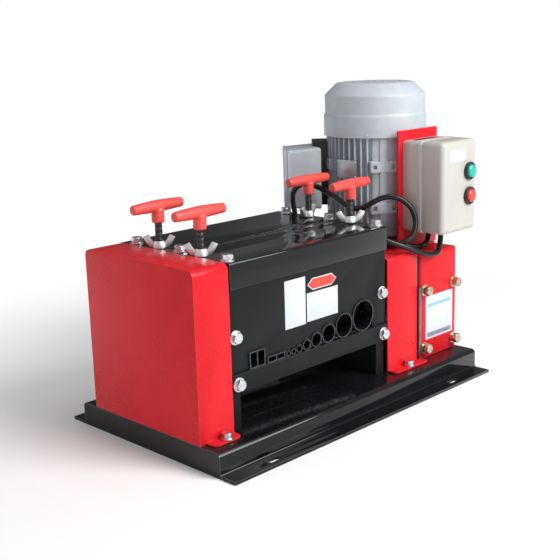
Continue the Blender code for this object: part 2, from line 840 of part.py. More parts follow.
def handle_mesh(across, deep):
    middle = body_top + handle_height
    half = handle_length / 2
    end = handle_end_radius
    soft = 0.35 * end
    profile = [(0, across - half), (end - soft, across - half), (end, across - half + soft),
               (handle_middle_radius, across), (end, across + half - soft),
               (end - soft, across + half), (0, across + half)]
    bar = turned(profile, "x", (deep, middle), few_steps)
    low = middle - neck_drop
    flare = neck_flare
    neck = turned([(0, low), (neck_radius + flare, low), (neck_radius + flare, low + 2 * flare),
                   (neck_radius - flare, low + 4 * flare), (neck_radius - flare, middle), (0, middle)],
                  "z", (across, deep), few_steps)
    bore = cylinder(screw_radius + gap, "z", (across, deep), low - neck_drop, middle - neck_radius,
                    few_steps)
    return cut(fuse(bar, neck), bore)


def wing_nut_mesh(across, deep):
    seat = body_top + gap
    hub = turned([(0, seat), (nut_radius, seat), (0.8 * nut_radius, seat + nut_height),
                  (0, seat + nut_height)], "z", (across, deep), few_steps)
    half = wing_span / 2
    wing = [(across - half, seat + wing_height)]
    wing += [(across - 0.5 * nut_radius, seat + 0.45 * nut_height),
             (across + 0.5 * nut_radius, seat + 0.45 * nut_height),
             (across + half, seat + wing_height),
             (across + half + wing_sheet, seat + 0.7 * wing_height),
             (across + 0.8 * nut_radius, seat + wing_sheet / 3),
             (across - 0.8 * nut_radius, seat + wing_sheet / 3),
             (across - half - wing_sheet, seat + 0.7 * wing_height)]
    plate = prism(wing, "y", deep - wing_sheet / 2, deep + wing_sheet / 2)
    bore = cylinder(screw_radius + gap, "z", (across, deep), seat - nut_height, seat + 2 * wing_height,
                    few_steps)
    return cut(fuse(hub, plate), bore)


def adjusters(front_lift, rear_lift):
    turns = {("front", "left"): 3, ("rear", "left"): 4, ("front", "right"): 4, ("rear", "right"): 0}
    nut_turns = {("front", "left"): -42, ("rear", "left"): -50, ("front", "right"): -38, ("rear", "right"): 12}
    for row, side, across, deep, block_top in adjuster_places():
        carriage = front_lift if row == "front" else rear_lift
        centre = Vector((across, deep, body_top))
        name = row + "_" + side
        turn = joint_empty(name + "_turn", centre, carriage)
        handle = turn_about(handle_mesh(across, deep), centre, math.radians(turns[row, side]))
        finish(handle, name + "_handle", red_plastic(), centre, turn)
        screw = cylinder(screw_radius, "z", (across, deep), block_top - screw_seat,
                         body_top + handle_height - neck_radius - gap, few_steps)
        finish(screw, name + "_screw", steel(), centre, turn)
        nut = turn_about(wing_nut_mesh(across, deep), centre, math.radians(nut_turns[row, side]))
        finish(nut, name + "_wing_nut", zinc(), centre)


# Stand and worm gear

def stand():
    low = (stand_left, stand_front, base_height + gap)
    high = (stand_right, stand_front + stand_depth, stand_top)
    shell = rounded_box(low, high, cover_corner / 2, square=("-z",), steps=2)
    space = rounded_box((low[0] + stand_sheet, low[1] + stand_sheet, low[2] - stand_sheet),
                        (high[0] - stand_sheet, high[1] - stand_sheet, high[2] - stand_sheet),
                        cover_corner / 4, square=("-z",), steps=1)
    shell = cut(shell, space)
    shaft_hole = cylinder(1.5 * shaft_radius, "x", (front_station, feed_z),
                          stand_left - stand_sheet, stand_left + 2 * stand_sheet)
    motor_hole = cylinder(2 * motor_shaft_radius, "z", (motor_x, motor_y),
                          stand_top - 2 * stand_sheet, stand_top + stand_sheet)
    shell = cut(shell, shaft_hole, motor_hole)
    for across, height in stand_bolt_places():
        shell = cut(shell, cylinder(stand_bolt_radius + gap, "y", (across, height),
                                    stand_front - stand_sheet, stand_front + 2 * stand_sheet))
    finish(shell, "gearbox_stand", red_paint())


def stand_bolt_places():
    for across in (stand_left + stand_bolt_inset, stand_right - stand_bolt_inset):
        for height in (base_height + stand_bolt_low, base_height + stand_bolt_low + stand_bolt_rise):
            yield across, height


def stand_bolts():
    nut_face = stand_front - gap
    head_face = nut_face - stand_bolt_nut
    names = ("left_low", "left_high", "right_low", "right_high")
    for name, (across, height) in zip(names, stand_bolt_places()):
        bolt = prism(hexagon((across, height), hex_radius), "y", head_face - stand_bolt_head, head_face)
        spacer = cylinder(0.85 * hex_radius, "y", (across, height), head_face - gap, nut_face, few_steps)
        shank = cylinder(stand_bolt_radius, "y", (across, height), nut_face - gap,
                         stand_front + stand_sheet, few_steps)
        finish(fuse(bolt, spacer, shank), "stand_bolt_" + name, zinc())


def worm_gear(feed, motor):
    wheel_radius = worm_module * worm_wheel_teeth / 2
    worm_radius = worm_distance - wheel_radius
    tip = wheel_radius + worm_module
    half = worm_wheel_width / 2
    # the wheel and the output shaft are one piece
    outline = turned_outline(gear_outline(worm_wheel_teeth, wheel_radius, worm_module,
                                          (front_station, feed_z)), (front_station, feed_z), 0)
    wheel = prism(outline, "x", motor_x - half, motor_x + half)
    start = coupling_middle + gap
    end = motor_x + worm_radius + worm_module + case_space
    shaft = cylinder(shaft_radius, "x", (front_station, feed_z), start, end)
    finish(fuse(wheel, shaft), "worm_wheel", steel(), (motor_x, front_station, feed_z), feed)
    # the case has a hole for the output shaft on each side and one for the motor's shaft on top
    side = worm_radius + worm_module + case_space
    low = (motor_x - side - case_wall, front_station - tip - case_space - case_wall, base_height + gap)
    high = (motor_x + side + case_wall, motor_y + worm_radius + 3 * worm_module + case_wall,
            base_height + case_height)
    case = rounded_box(low, high, case_corner, square=("-z", "+z"), steps=2)
    space = box((low[0] + case_wall, low[1] + case_wall, low[2] + case_wall),
                (high[0] - case_wall, high[1] - case_wall, high[2] - case_wall))
    case = cut(case, space)
    shaft_hole = cylinder(shaft_radius + gap, "x", (front_station, feed_z), low[0] - side, high[0] + side)
    motor_hole = cylinder(motor_shaft_radius + gap, "z", (motor_x, motor_y), high[2] - side, high[2] + side)
    case = cut(case, shaft_hole, motor_hole)
    finish(case, "gearbox_case", grey_paint())
    motor_shaft(motor, worm_radius)


def motor_shaft(parent, worm_radius):
    # rotor and worm on one shaft; the worm's thread is a ridge that climbs one tooth each turn
    rotor_low = motor_foot + rotor_inset
    rotor_high = motor_top - rotor_inset
    worm_low = feed_z - worm_length / 2
    worm_high = feed_z + worm_length / 2
    shaft_top = motor_top + fan_cover_height - fan_height
    radius = motor_shaft_radius
    rotor = stator_bore - rotor_space
    profile = [(0, worm_low - shaft_tail), (radius, worm_low - shaft_tail), (radius, rotor_low), (rotor, rotor_low),
               (rotor, rotor_high), (radius, rotor_high), (radius, shaft_top), (0, shaft_top)]
    shaft = turned(profile, "z", (motor_x, motor_y))
    root = worm_radius - 1.2 * worm_module
    ridge = worm_radius + 0.8 * worm_module
    pitch = math.pi * worm_module
    builder = bmesh.new()
    rows_a_turn = 7
    steps = few_steps
    turns = worm_length / pitch
    rows = int(turns * rows_a_turn)
    rings = []
    for row in range(rows + 1):
        height = worm_low + worm_length * row / rows
        points = []
        for step in range(steps):
            angle = 2 * math.pi * step / steps
            phase = ((height - feed_z) / pitch - step / steps + 0.75) % 1.0
            distance = abs(phase - 0.5) * 2
            radius_here = root
            if distance < 0.2:
                radius_here = ridge
            elif distance < 0.62:
                radius_here = ridge + (root - ridge) * (distance - 0.2) / 0.42
            if row in (0, rows):
                radius_here = root
            points.append(builder.verts.new((motor_x + radius_here * math.cos(angle),
                                             motor_y + radius_here * math.sin(angle), height)))
        rings.append(points)
    for row in range(rows):
        for step in range(steps):
            follow = (step + 1) % steps
            builder.faces.new((rings[row][step], rings[row][follow],
                               rings[row + 1][follow], rings[row + 1][step]))
    builder.faces.new(rings[0])
    builder.faces.new(rings[-1])
    worm = raw(builder)
    finish(fuse(shaft, worm), "motor_shaft", steel(), (motor_x, motor_y, motor_foot), parent)


# Motor

def motor():
    centre = (motor_x, motor_y)
    low = stand_top + gap
    high = low + motor_flange_height
    flange = turned([(motor_shaft_radius + gap, low), (motor_flange_radius, low),
                     (motor_flange_radius, high - flange_chamfer), (motor_flange_radius - flange_step, high),
                     (motor_shaft_radius + gap, high)], "z", centre, fine_steps)
    finish(flange, "motor_flange", grey_paint())
    finish(motor_housing(centre), "motor_body", grey_paint())
    finish(fan_cover(centre), "fan_cover", grey_paint())


def motor_housing(centre):
    # upright fins between two plain rims, and the foot pads
    root = motor_radius - fin_depth
    rim = motor_rim
    rim_radius = fan_cover_radius - fan_cover_sheet - gap
    points = []
    for fin in range(fin_count):
        for radius, share in ((root, 0.0), (root, 0.45), (motor_radius, 0.58), (motor_radius, 0.87)):
            angle = 2 * math.pi * (fin + share) / fin_count
            points.append((centre[0] + radius * math.cos(angle), centre[1] + radius * math.sin(angle)))
    housing = prism(points, "z", motor_foot + rim - gap, motor_top - rim + gap)
    for low, high, outer in ((motor_foot, motor_foot + rim, root + fin_depth / 2),
                             (motor_top - rim, motor_top, rim_radius)):
        housing = fuse(housing, cylinder(outer, "z", centre, low, high, fine_steps))
    for angle in pad_turns:
        for height in pad_heights():
            pad = box((centre[0] + root - fin_depth, centre[1] - pad_width / 2, height - pad_height / 2),
                      (centre[0] + motor_radius + pad_proud, centre[1] + pad_width / 2, height + pad_height / 2))
            middle = Vector((centre[0], centre[1], height))
            housing = fuse(housing, turn_about(pad, middle, math.radians(angle)))
    bore = cylinder(stator_bore, "z", centre, motor_foot + rim / 2, motor_top - rim / 2, fine_steps)
    shaft_way = cylinder(motor_shaft_radius + gap, "z", centre, motor_foot - rim, motor_top + rim)
    return cut(housing, bore, shaft_way)


def pad_heights():
    return (motor_foot + 0.29 * motor_height, motor_foot + 0.68 * motor_height)


def fan_cover(centre):
    sheet = fan_cover_sheet
    outer = fan_cover_radius
    low, top = fan_cover_low, fan_cover_top
    shoulder = top - fan_cover_chamfer
    flat = outer - fan_cover_chamfer
    step_low = low + 0.45 * fan_cover_height
    step = fan_cover_step
    outside = [(outer, low), (outer, step_low), (outer - step, step_low + step),
               (outer - step, shoulder), (flat, top)]
    inside = [(0, top - sheet), (flat - sheet / 2, top - sheet), (outer - step - sheet, shoulder),
              (outer - step - sheet, step_low + step), (outer - sheet, step_low), (outer - sheet, low)]
    cover = turned(outside + [(0, top)] + inside, "z", centre, fine_steps)
    for radius, count in zip(air_ring_radii, air_ring_counts):
        for index in range(count):
            angle = 2 * math.pi * index / count
            spot = (centre[0] + radius * math.cos(angle), centre[1] + radius * math.sin(angle))
            cover = cut(cover, cylinder(air_hole_radius, "z", spot, top - 3 * sheet, top + sheet, 8))
    return cover


def cooling_fan(parent):
    low = motor_top + fan_space
    high = low + fan_height
    centre = (motor_x, motor_y)
    fan = cylinder(fan_hub, "z", centre, low, high, few_steps)
    for index in range(fan_blades):
        blade = box((motor_x + fan_hub / 2, motor_y - fan_blade / 2, low),
                    (motor_x + fan_radius, motor_y + fan_blade / 2, high))
        fan = fuse(fan, turn_about(blade, Vector((motor_x, motor_y, low)), 2 * math.pi * index / fan_blades))
    fan = cut(fan, cylinder(motor_shaft_radius + gap, "z", centre, low - fan_hub, high + fan_hub))
    finish(fan, "cooling_fan", black_rubber(), (motor_x, motor_y, low), parent)


# Terminal box and switch box

def gland(centre, top, length):
    return turned([(0, top), (gland_radius, top), (gland_radius, top - 0.6 * length),
                   (0.75 * gland_radius, top - length), (0, top - length)], "z", centre, 12)


def terminal_box():
    # built along +X from the motor's axis, then turned to face the back left
    turn = terminal_turn
    middle = Vector((motor_x, motor_y, motor_foot))
    near = motor_radius - 2 * fin_depth
    far = motor_radius + terminal_reach
    low = motor_foot + terminal_low
    high = low + terminal_height
    half = terminal_width / 2
    outline = [(motor_x + near, low), (motor_x + far, low + terminal_draft / 2),
               (motor_x + far, high - terminal_draft), (motor_x + near, high)]
    case = prism(outline, "y", motor_y - half, motor_y + half)
    space = box((motor_x + motor_radius + 2 * terminal_wall, motor_y - half + terminal_wall,
                 low + terminal_draft / 2 + terminal_wall),
                (motor_x + far + terminal_wall, motor_y + half - terminal_wall,
                 high - terminal_draft - terminal_wall))
    case = cut(case, space)
    for spot in terminal_gland_places():
        top = low + terminal_draft
        case = fuse(case, gland(spot, top, gland_length + top - low))
    motor_space = cylinder(motor_radius + gap + pad_proud, "z", (motor_x, motor_y), low - far, high + far,
                           fine_steps)
    case = cut(case, motor_space)
    finish(turn_about(case, middle, turn), "terminal_box", grey_paint())
    lid = box((motor_x + far + gap, motor_y - half, low + terminal_draft / 2),
              (motor_x + far + gap + terminal_lid, motor_y + half, high - terminal_draft))
    finish(turn_about(lid, middle, turn), "terminal_lid", grey_paint())


def terminal_gland_places():
    # before the box is turned to its place
    across = motor_x + motor_radius + terminal_gland_reach
    return [(across, motor_y + side) for side in terminal_gland_sides]


def switch_gland_places():
    return [(switch_left + switch_gland_side, switch_back - depth) for depth in switch_gland_depths]


def switch_plate():
    high = switch_top + plate_above
    plate = box((switch_left - plate_side, plate_front, stand_top + gap), (switch_right, plate_back, high))
    tab = box((switch_left - plate_side, plate_front - plate_tab, stand_top + gap),
              (stand_right - cover_corner, plate_front + gap, stand_top + gap + plate_sheet))
    finish(fuse(plate, tab), "switch_plate", red_paint())


def switch_box():
    case = rounded_box((switch_left, lid_back + gap, switch_bottom), (switch_right, switch_back, switch_top),
                       switch_corner, square=("-y", "+y"))
    space = box((switch_left + switch_wall, lid_back - switch_wall, switch_bottom + switch_wall),
                (switch_right - switch_wall, switch_back - switch_wall, switch_top - switch_wall))
    case = cut(case, space)
    for spot in switch_gland_places():
        case = fuse(case, gland(spot, switch_bottom + switch_wall / 2,
                                switch_gland_length + switch_wall / 2))
    finish(case, "switch_box", cream_plastic())
    lid = rounded_box((switch_left, switch_front, switch_bottom), (switch_right, lid_back, switch_top),
                      switch_corner, square=("+y",))
    space = rounded_box((switch_left + switch_wall, switch_front + switch_wall, switch_bottom + switch_wall),
                        (switch_right - switch_wall, lid_back + switch_wall, switch_top - switch_wall),
                        switch_corner - switch_wall, square=("+y",))
    lid = cut(lid, space)
    for name, height, finish_material in button_places():
        collar = cylinder(button_radius + gap + collar_wall, "y", (button_x, height),
                          switch_front - collar_height, switch_front + switch_wall / 2)
        lid = fuse(lid, collar)
        lid = cut(lid, cylinder(button_radius + gap, "y", (button_x, height),
                                switch_front - 2 * collar_height, switch_front + 2 * switch_wall))
    finish(lid, "switch_lid", cream_plastic())


def button_places():
    upper = switch_top - button_drop
    return (("start_button", upper, green_plastic()), ("stop_button", upper - button_spacing, red_plastic()))


def buttons():
    # a flange behind the lid's wall holds each button in
    wall = switch_front + switch_wall
    tip = switch_front - button_proud
    for name, height, finish_material in button_places():
        flange = button_radius + button_flange
        profile = [(0, tip), (button_radius - button_soft, tip), (button_radius, tip + button_soft),
                   (button_radius, wall + gap), (flange, wall + gap),
                   (flange, wall + gap + button_flange), (0, wall + gap + button_flange)]
        finish(turned(profile, "y", (button_x, height)), name, finish_material,
               (button_x, switch_front, height))


# Leads from the motor's terminal box to the switch box

def smooth_route(places):
    # a smooth curve from the second place to the last but one, with a point wherever it has
    # turned or gone on far enough, and the straight ends
    dense = []
    fine = 16
    for index in range(1, len(places) - 2):
        before, start, end, after = places[index - 1:index + 3]
        for step in range(fine):
            share = step / fine
            dense.append(0.5 * (2 * start + (end - before) * share
                                + (2 * before - 5 * start + 4 * end - after) * share ** 2
                                + (3 * start - before - 3 * end + after) * share ** 3))
    dense.append(places[-2])
    kept = [dense[0]]
    last = dense[1] - dense[0]
    for here, ahead in zip(dense[1:], dense[2:]):
        direction = ahead - here
        if direction.angle(last) > lead_turn or (here - kept[-1]).length > lead_step:
            kept.append(here)
            last = direction
    if (kept[-1] - places[-2]).length < lead_diameter / 3:
        kept.pop()
    return [places[0]] + kept + places[-2:]


def lead(name, places):
    curve = bpy.data.curves.new(name, "CURVE")
    curve.dimensions = "3D"
    curve.bevel_depth = lead_diameter / 2
    curve.bevel_resolution = lead_sides
    curve.use_fill_caps = True
    route = smooth_route(places)
    spline = curve.splines.new("POLY")
    spline.points.add(len(route) - 1)
    for point, place in zip(spline.points, route):
        point.co = (*place, 1)
    thing = bpy.data.objects.new(name, curve)
    thing.location = origin_shift
    curve.materials.append(black_rubber())
    bpy.context.collection.objects.link(thing)


def leads():
    low = motor_foot + terminal_low - gland_length - gap
    starts = []
    for across, deep in terminal_gland_places():
        spot = Vector((across - motor_x, deep - motor_y, 0))
        spot.rotate(Matrix.Rotation(terminal_turn, 3, "Z"))
        starts.append(Vector((motor_x + spot.x, motor_y + spot.y, low)))
    high = switch_bottom - switch_gland_length - gap
    ends = [Vector((*spot, high)) for spot in switch_gland_places()]
    straight = Vector((0, 0, lead_straight))
    for name, route, start, end in (("upper_lead", upper_route, starts[0], ends[0]),
                                    ("lower_lead", lower_route, starts[1], ends[1])):
        middle = [Vector(point) * mm for point in route]
        lead(name, [start, start - straight] + middle + [end - straight, end])


def build():
    clear_scene()
    base_plate()
    gear_cover()
    coupling_cover()
    side_plates()
    top_covers()
    front_panel()
    wire_guide()
    middle = (body_left + body_right) / 2
    feed = joint_empty("feed_axis", (middle, front_station, feed_z))
    front_lift = joint_empty("front_lift", (middle, front_station, blade_z))
    rear_lift = joint_empty("rear_lift", (middle, rear_station, press_z))
    blade = joint_empty("blade_axis", (middle, front_station, blade_z), front_lift)
    press = joint_empty("press_axis", (middle, rear_station, press_z), rear_lift)
    draw = joint_empty("draw_axis", (middle, rear_station, feed_z))
    idler = joint_empty("idler_axis", (inner_gear_left, idler_middle, feed_z))
    spindle = joint_empty("motor_axis", (motor_x, motor_y, motor_foot))
    rollers(feed, draw, blade, press)
    gears(feed, blade, idler, draw, press)
    bearing_blocks(front_lift, rear_lift)
    shaft_coupling(feed)
    adjusters(front_lift, rear_lift)
    stand()
    stand_bolts()
    worm_gear(feed, spindle)
    motor()
    cooling_fan(spindle)
    terminal_box()
    switch_plate()
    switch_box()
    buttons()
    leads()


build()
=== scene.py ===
import math

import bmesh
import bpy
from mathutils import Matrix, Vector


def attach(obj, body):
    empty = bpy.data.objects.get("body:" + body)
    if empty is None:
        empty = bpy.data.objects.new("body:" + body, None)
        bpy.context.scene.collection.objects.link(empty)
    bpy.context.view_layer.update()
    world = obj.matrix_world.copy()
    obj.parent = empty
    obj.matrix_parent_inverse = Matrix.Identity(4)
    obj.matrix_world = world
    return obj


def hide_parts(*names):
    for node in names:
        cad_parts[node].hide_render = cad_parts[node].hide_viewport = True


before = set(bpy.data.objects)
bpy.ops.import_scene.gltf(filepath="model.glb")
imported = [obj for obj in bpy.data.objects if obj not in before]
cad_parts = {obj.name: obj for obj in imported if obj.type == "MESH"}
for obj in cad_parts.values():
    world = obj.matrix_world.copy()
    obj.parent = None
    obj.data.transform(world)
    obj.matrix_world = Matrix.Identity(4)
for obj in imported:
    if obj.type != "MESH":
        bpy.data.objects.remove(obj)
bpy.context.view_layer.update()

print("stage 1: packed model loaded,", len(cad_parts), "nodes")

# Pieces are drawn in millimetres from the machine's left front base corner, and finishPiece
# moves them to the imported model's metres. The camera, the lights and the floor are in metres.
mm = 0.001
cornerX = 280.6134
cornerY = 135.5
hair = 0.02     # keeps two faces out of one plane
toRow = Matrix.Scale(mm, 4) @ Matrix.Translation((-cornerX, -cornerY, 0))


def rowPoint(x, y, z):
    return toRow @ Vector((x, y, z))


# Camera, lights and floor

cameraSet = {"place": (-1.0016, -0.9565, 0.502), "lens": 64.77, "sensor": 36.0,
             "yaw": 45.27, "pitch": 13.61, "roll": -1.60}       # degrees, from a fit to the photograph
# glossAhead and glossBehind are the room that shiny surfaces mirror; a lamp is its place, size and power;
# floorFade is how far from the middle, in metres, the paper turns into the backdrop
lightSet = {"worldLight": 0.34, "glossAhead": 0.5, "glossBehind": 0.12, "behind": (0.7, 0.7, -0.14),
            "lamps": {"frontSoftbox": ((0.6, -2.0, 1.5), 1.7, 66.0),
                      "topSoftbox": ((0.2, -0.9, 2.4), 1.5, 12.0),
                      "backSoftbox": ((-1.4, 1.6, 1.2), 1.4, 6.0)},
            "aim": (0, 0, 0.15), "floorColour": "FBFBFB", "floorFade": (0.36, 0.9), "floorHalf": 6}


def linear(hexColour):
    channels = [int(hexColour[start:start + 2], 16) / 255 for start in (0, 2, 4)]
    return tuple(channel / 12.92 if channel <= 0.04045 else ((channel + 0.055) / 1.055) ** 2.4
                 for channel in channels) + (1.0,)


def addNode(tree, kind, inputs=None, **settings):
    node = tree.nodes.new(kind)
    for name, value in settings.items():
        setattr(node, name, value)
    for name, value in (inputs or {}).items():
        if isinstance(value, bpy.types.NodeSocket):
            tree.links.new(value, node.inputs[name])
        else:
            node.inputs[name].default_value = value
    return node


def setCamera():
    yaw, pitch, roll = (math.radians(cameraSet[key]) for key in ("yaw", "pitch", "roll"))
    right = Vector((math.cos(yaw), -math.sin(yaw), 0))
    ahead = Vector((math.sin(yaw) * math.cos(pitch), math.cos(yaw) * math.cos(pitch), -math.sin(pitch)))
    above = right.cross(ahead)
    tiltedRight = math.cos(roll) * right + math.sin(roll) * above
    tiltedUp = math.cos(roll) * above - math.sin(roll) * right
    turn = Matrix((tiltedRight, tiltedUp, -ahead)).transposed().to_4x4()
    lens = bpy.data.cameras.new("photoCamera")
    lens.lens = cameraSet["lens"]
    lens.sensor_width = cameraSet["sensor"]
    camera = bpy.data.objects.new("photoCamera", lens)
    bpy.context.scene.collection.objects.link(camera)
    camera.matrix_world = Matrix.Translation(cameraSet["place"]) @ turn
    bpy.context.scene.camera = camera


def setLights():
    scene = bpy.context.scene
    scene.view_settings.view_transform = "Standard"
    world = bpy.data.worlds.new("paleRoom")
    scene.world = world
    world.use_nodes = True
    tree = world.node_tree
    tree.nodes.clear()
    ray = addNode(tree, "ShaderNodeLightPath").outputs
    glossy = addNode(tree, "ShaderNodeMath", {0: ray["Is Glossy Ray"], 1: ray["Is Transmission Ray"]},
                     operation="MAXIMUM").outputs[0]
    # the room is darker behind the machine, so its flat black lids stay black
    way = addNode(tree, "ShaderNodeTexCoord").outputs["Generated"]
    behind = addNode(tree, "ShaderNodeVectorMath", {0: way, 1: lightSet["behind"]},
                     operation="DOT_PRODUCT").outputs["Value"]
    mirrored = addNode(tree, "ShaderNodeMapRange", {"Value": behind, "From Min": -0.2, "From Max": 0.75,
                                                    "To Min": lightSet["glossAhead"],
                                                    "To Max": lightSet["glossBehind"]}).outputs[0]
    level = addNode(tree, "ShaderNodeMapRange", {"Value": glossy, "To Min": lightSet["worldLight"],
                                                 "To Max": mirrored}).outputs[0]
    seen = addNode(tree, "ShaderNodeMath", {0: ray["Is Camera Ray"], 1: level},
                   operation="MAXIMUM").outputs[0]
    glow = addNode(tree, "ShaderNodeBackground", {"Color": (1, 1, 1, 1), "Strength": seen}).outputs[0]
    addNode(tree, "ShaderNodeOutputWorld", {"Surface": glow})
    for name, (place, size, power) in lightSet["lamps"].items():
        lamp = bpy.data.lights.new(name, "AREA")
        lamp.shape = "DISK"
        lamp.size = size
        lamp.energy = power
        holder = bpy.data.objects.new(name, lamp)
        scene.collection.objects.link(holder)
        holder.location = place
        holder.rotation_euler = (Vector(place) - Vector(lightSet["aim"])).to_track_quat("Z", "Y").to_euler()


def layFloor():
    mesh = bpy.data.meshes.new("studioFloor")
    half = lightSet["floorHalf"]
    corners = [(-half, -half, 0), (half, -half, 0), (half, half, 0), (-half, half, 0)]
    mesh.from_pydata(corners, [], [(0, 1, 2, 3)])
    floor = bpy.data.objects.new("studioFloor", mesh)
    bpy.context.scene.collection.objects.link(floor)
    paper = bpy.data.materials.new("whitePaperSweep")
    paper.use_nodes = True
    shader = paper.node_tree.nodes["Principled BSDF"]
    shader.inputs["Base Color"].default_value = linear(lightSet["floorColour"])
    shader.inputs["Roughness"].default_value = 0.9
    shader.inputs["Specular IOR Level"].default_value = 0.1
    # the sweep runs out into the lit white backdrop
    tree = paper.node_tree
    place = addNode(tree, "ShaderNodeTexCoord").outputs["Object"]
    away = addNode(tree, "ShaderNodeVectorMath", {0: place}, operation="LENGTH").outputs["Value"]
    near, far = lightSet["floorFade"]
    share = addNode(tree, "ShaderNodeMapRange", {"Value": away, "From Min": near, "From Max": far},
                    interpolation_type="SMOOTHSTEP").outputs[0]
    glow = addNode(tree, "ShaderNodeEmission", {"Color": (1, 1, 1, 1), "Strength": 1.0}).outputs[0]
    both = addNode(tree, "ShaderNodeMixShader", {0: share, 1: shader.outputs[0], 2: glow}).outputs[0]
    tree.links.new(both, tree.nodes["Material Output"].inputs["Surface"])
    mesh.materials.append(paper)


# Materials

def perMetre(size):
    # pattern scale for a feature of that size in millimetres
    return 1000.0 / size


def finishMaterial(name, look):
    made = bpy.data.materials.new(name)
    made.use_nodes = True
    tree = made.node_tree
    shader = tree.nodes["Principled BSDF"]
    for socket, value in look.get("sockets", {}).items():
        shader.inputs[socket].default_value = value
    place = addNode(tree, "ShaderNodeTexCoord").outputs["Object"]
    grainPlace = addNode(tree, "ShaderNodeMapping", {"Vector": place,
                                                     "Scale": look.get("stretch", (1, 1, 1))}).outputs[0]
    patches = addNode(tree, "ShaderNodeTexNoise", {"Vector": place, "Scale": perMetre(look["patch"]),
                                                   "Detail": 4.0, "Roughness": 0.6}).outputs[0]
    tone = addNode(tree, "ShaderNodeMapRange", {"Value": patches, "From Min": 0.35,
                                                "From Max": 0.65}).outputs[0]
    colour = addNode(tree, "ShaderNodeMix", {0: tone, 6: linear(look["colour"]), 7: linear(look["shade"])},
                     data_type="RGBA").outputs[2]
    grain = addNode(tree, "ShaderNodeTexNoise", {"Vector": grainPlace,
                                                 "Scale": perMetre(look["grain"]), "Detail": 2.0}).outputs[0]
    low, high = look["rough"]
    mixed = addNode(tree, "ShaderNodeMath", {0: grain, 1: tone}, operation="MULTIPLY").outputs[0]
    rough = addNode(tree, "ShaderNodeMapRange", {"Value": mixed, "From Max": 0.6, "To Min": low,
                                                 "To Max": high}).outputs[0]
    if "dust" in look:      # fine dust settles on what faces up
        facing = addNode(tree, "ShaderNodeNewGeometry").outputs["Normal"]
        upward = addNode(tree, "ShaderNodeSeparateXYZ", {0: facing}).outputs[2]
        specks = addNode(tree, "ShaderNodeTexNoise", {"Vector": place, "Scale": perMetre(look["speck"]),
                                                      "Detail": 6.0}).outputs[0]
        amount = addNode(tree, "ShaderNodeMapRange", {"Value": specks, "From Min": 0.52, "From Max": 0.75,
                                                      "To Max": look["dust"]}).outputs[0]
        settled = addNode(tree, "ShaderNodeMath", {0: upward, 1: amount}, operation="MULTIPLY",
                          use_clamp=True).outputs[0]
        colour = addNode(tree, "ShaderNodeMix", {0: settled, 6: colour, 7: linear("C9C4BA")},
                         data_type="RGBA").outputs[2]
    if "edge" in look:      # edges get a lighter colour: thin rubbed paint, and on the gloss black enamel also a painted highlight along edges and bends
        normal = addNode(tree, "ShaderNodeNewGeometry").outputs["Normal"]
        rounded = addNode(tree, "ShaderNodeBevel", {"Radius": look["edgeWidth"] * mm}, samples=4).outputs[0]
        flatness = addNode(tree, "ShaderNodeVectorMath", {0: normal, 1: rounded},
                           operation="DOT_PRODUCT").outputs["Value"]
        edgeMask = addNode(tree, "ShaderNodeMapRange", {"Value": flatness, "From Min": 0.995, "From Max": 0.86,
                                                      "To Max": look["edgeAmount"]}).outputs[0]
        wearAndHighlight = addNode(tree, "ShaderNodeMath", {0: edgeMask, 1: patches}, operation="MULTIPLY").outputs[0]
        colour = addNode(tree, "ShaderNodeMix", {0: wearAndHighlight, 6: colour, 7: linear(look["edge"])},
                         data_type="RGBA").outputs[2]
    bump = addNode(tree, "ShaderNodeBump", {"Height": grain, "Distance": look["height"] * mm,
                                            "Strength": look.get("bump", 0.6)}).outputs[0]
    if "ridge" in look:     # turned or rolled marks around or along the piece
        lines = addNode(tree, "ShaderNodeTexWave", {"Vector": place, "Scale": perMetre(look["ridge"]) / 20,
                                                    "Distortion": 0.6, "Detail": 1.0},
                        bands_direction=look["ridgeAlong"]).outputs[1]
        bump = addNode(tree, "ShaderNodeBump", {"Height": lines, "Distance": look["height"] * mm,
                                                "Strength": 0.5, "Normal": bump}).outputs[0]
    tree.links.new(colour, shader.inputs["Base Color"])
    tree.links.new(rough, shader.inputs["Roughness"])
    tree.links.new(bump, shader.inputs["Normal"])
    return made


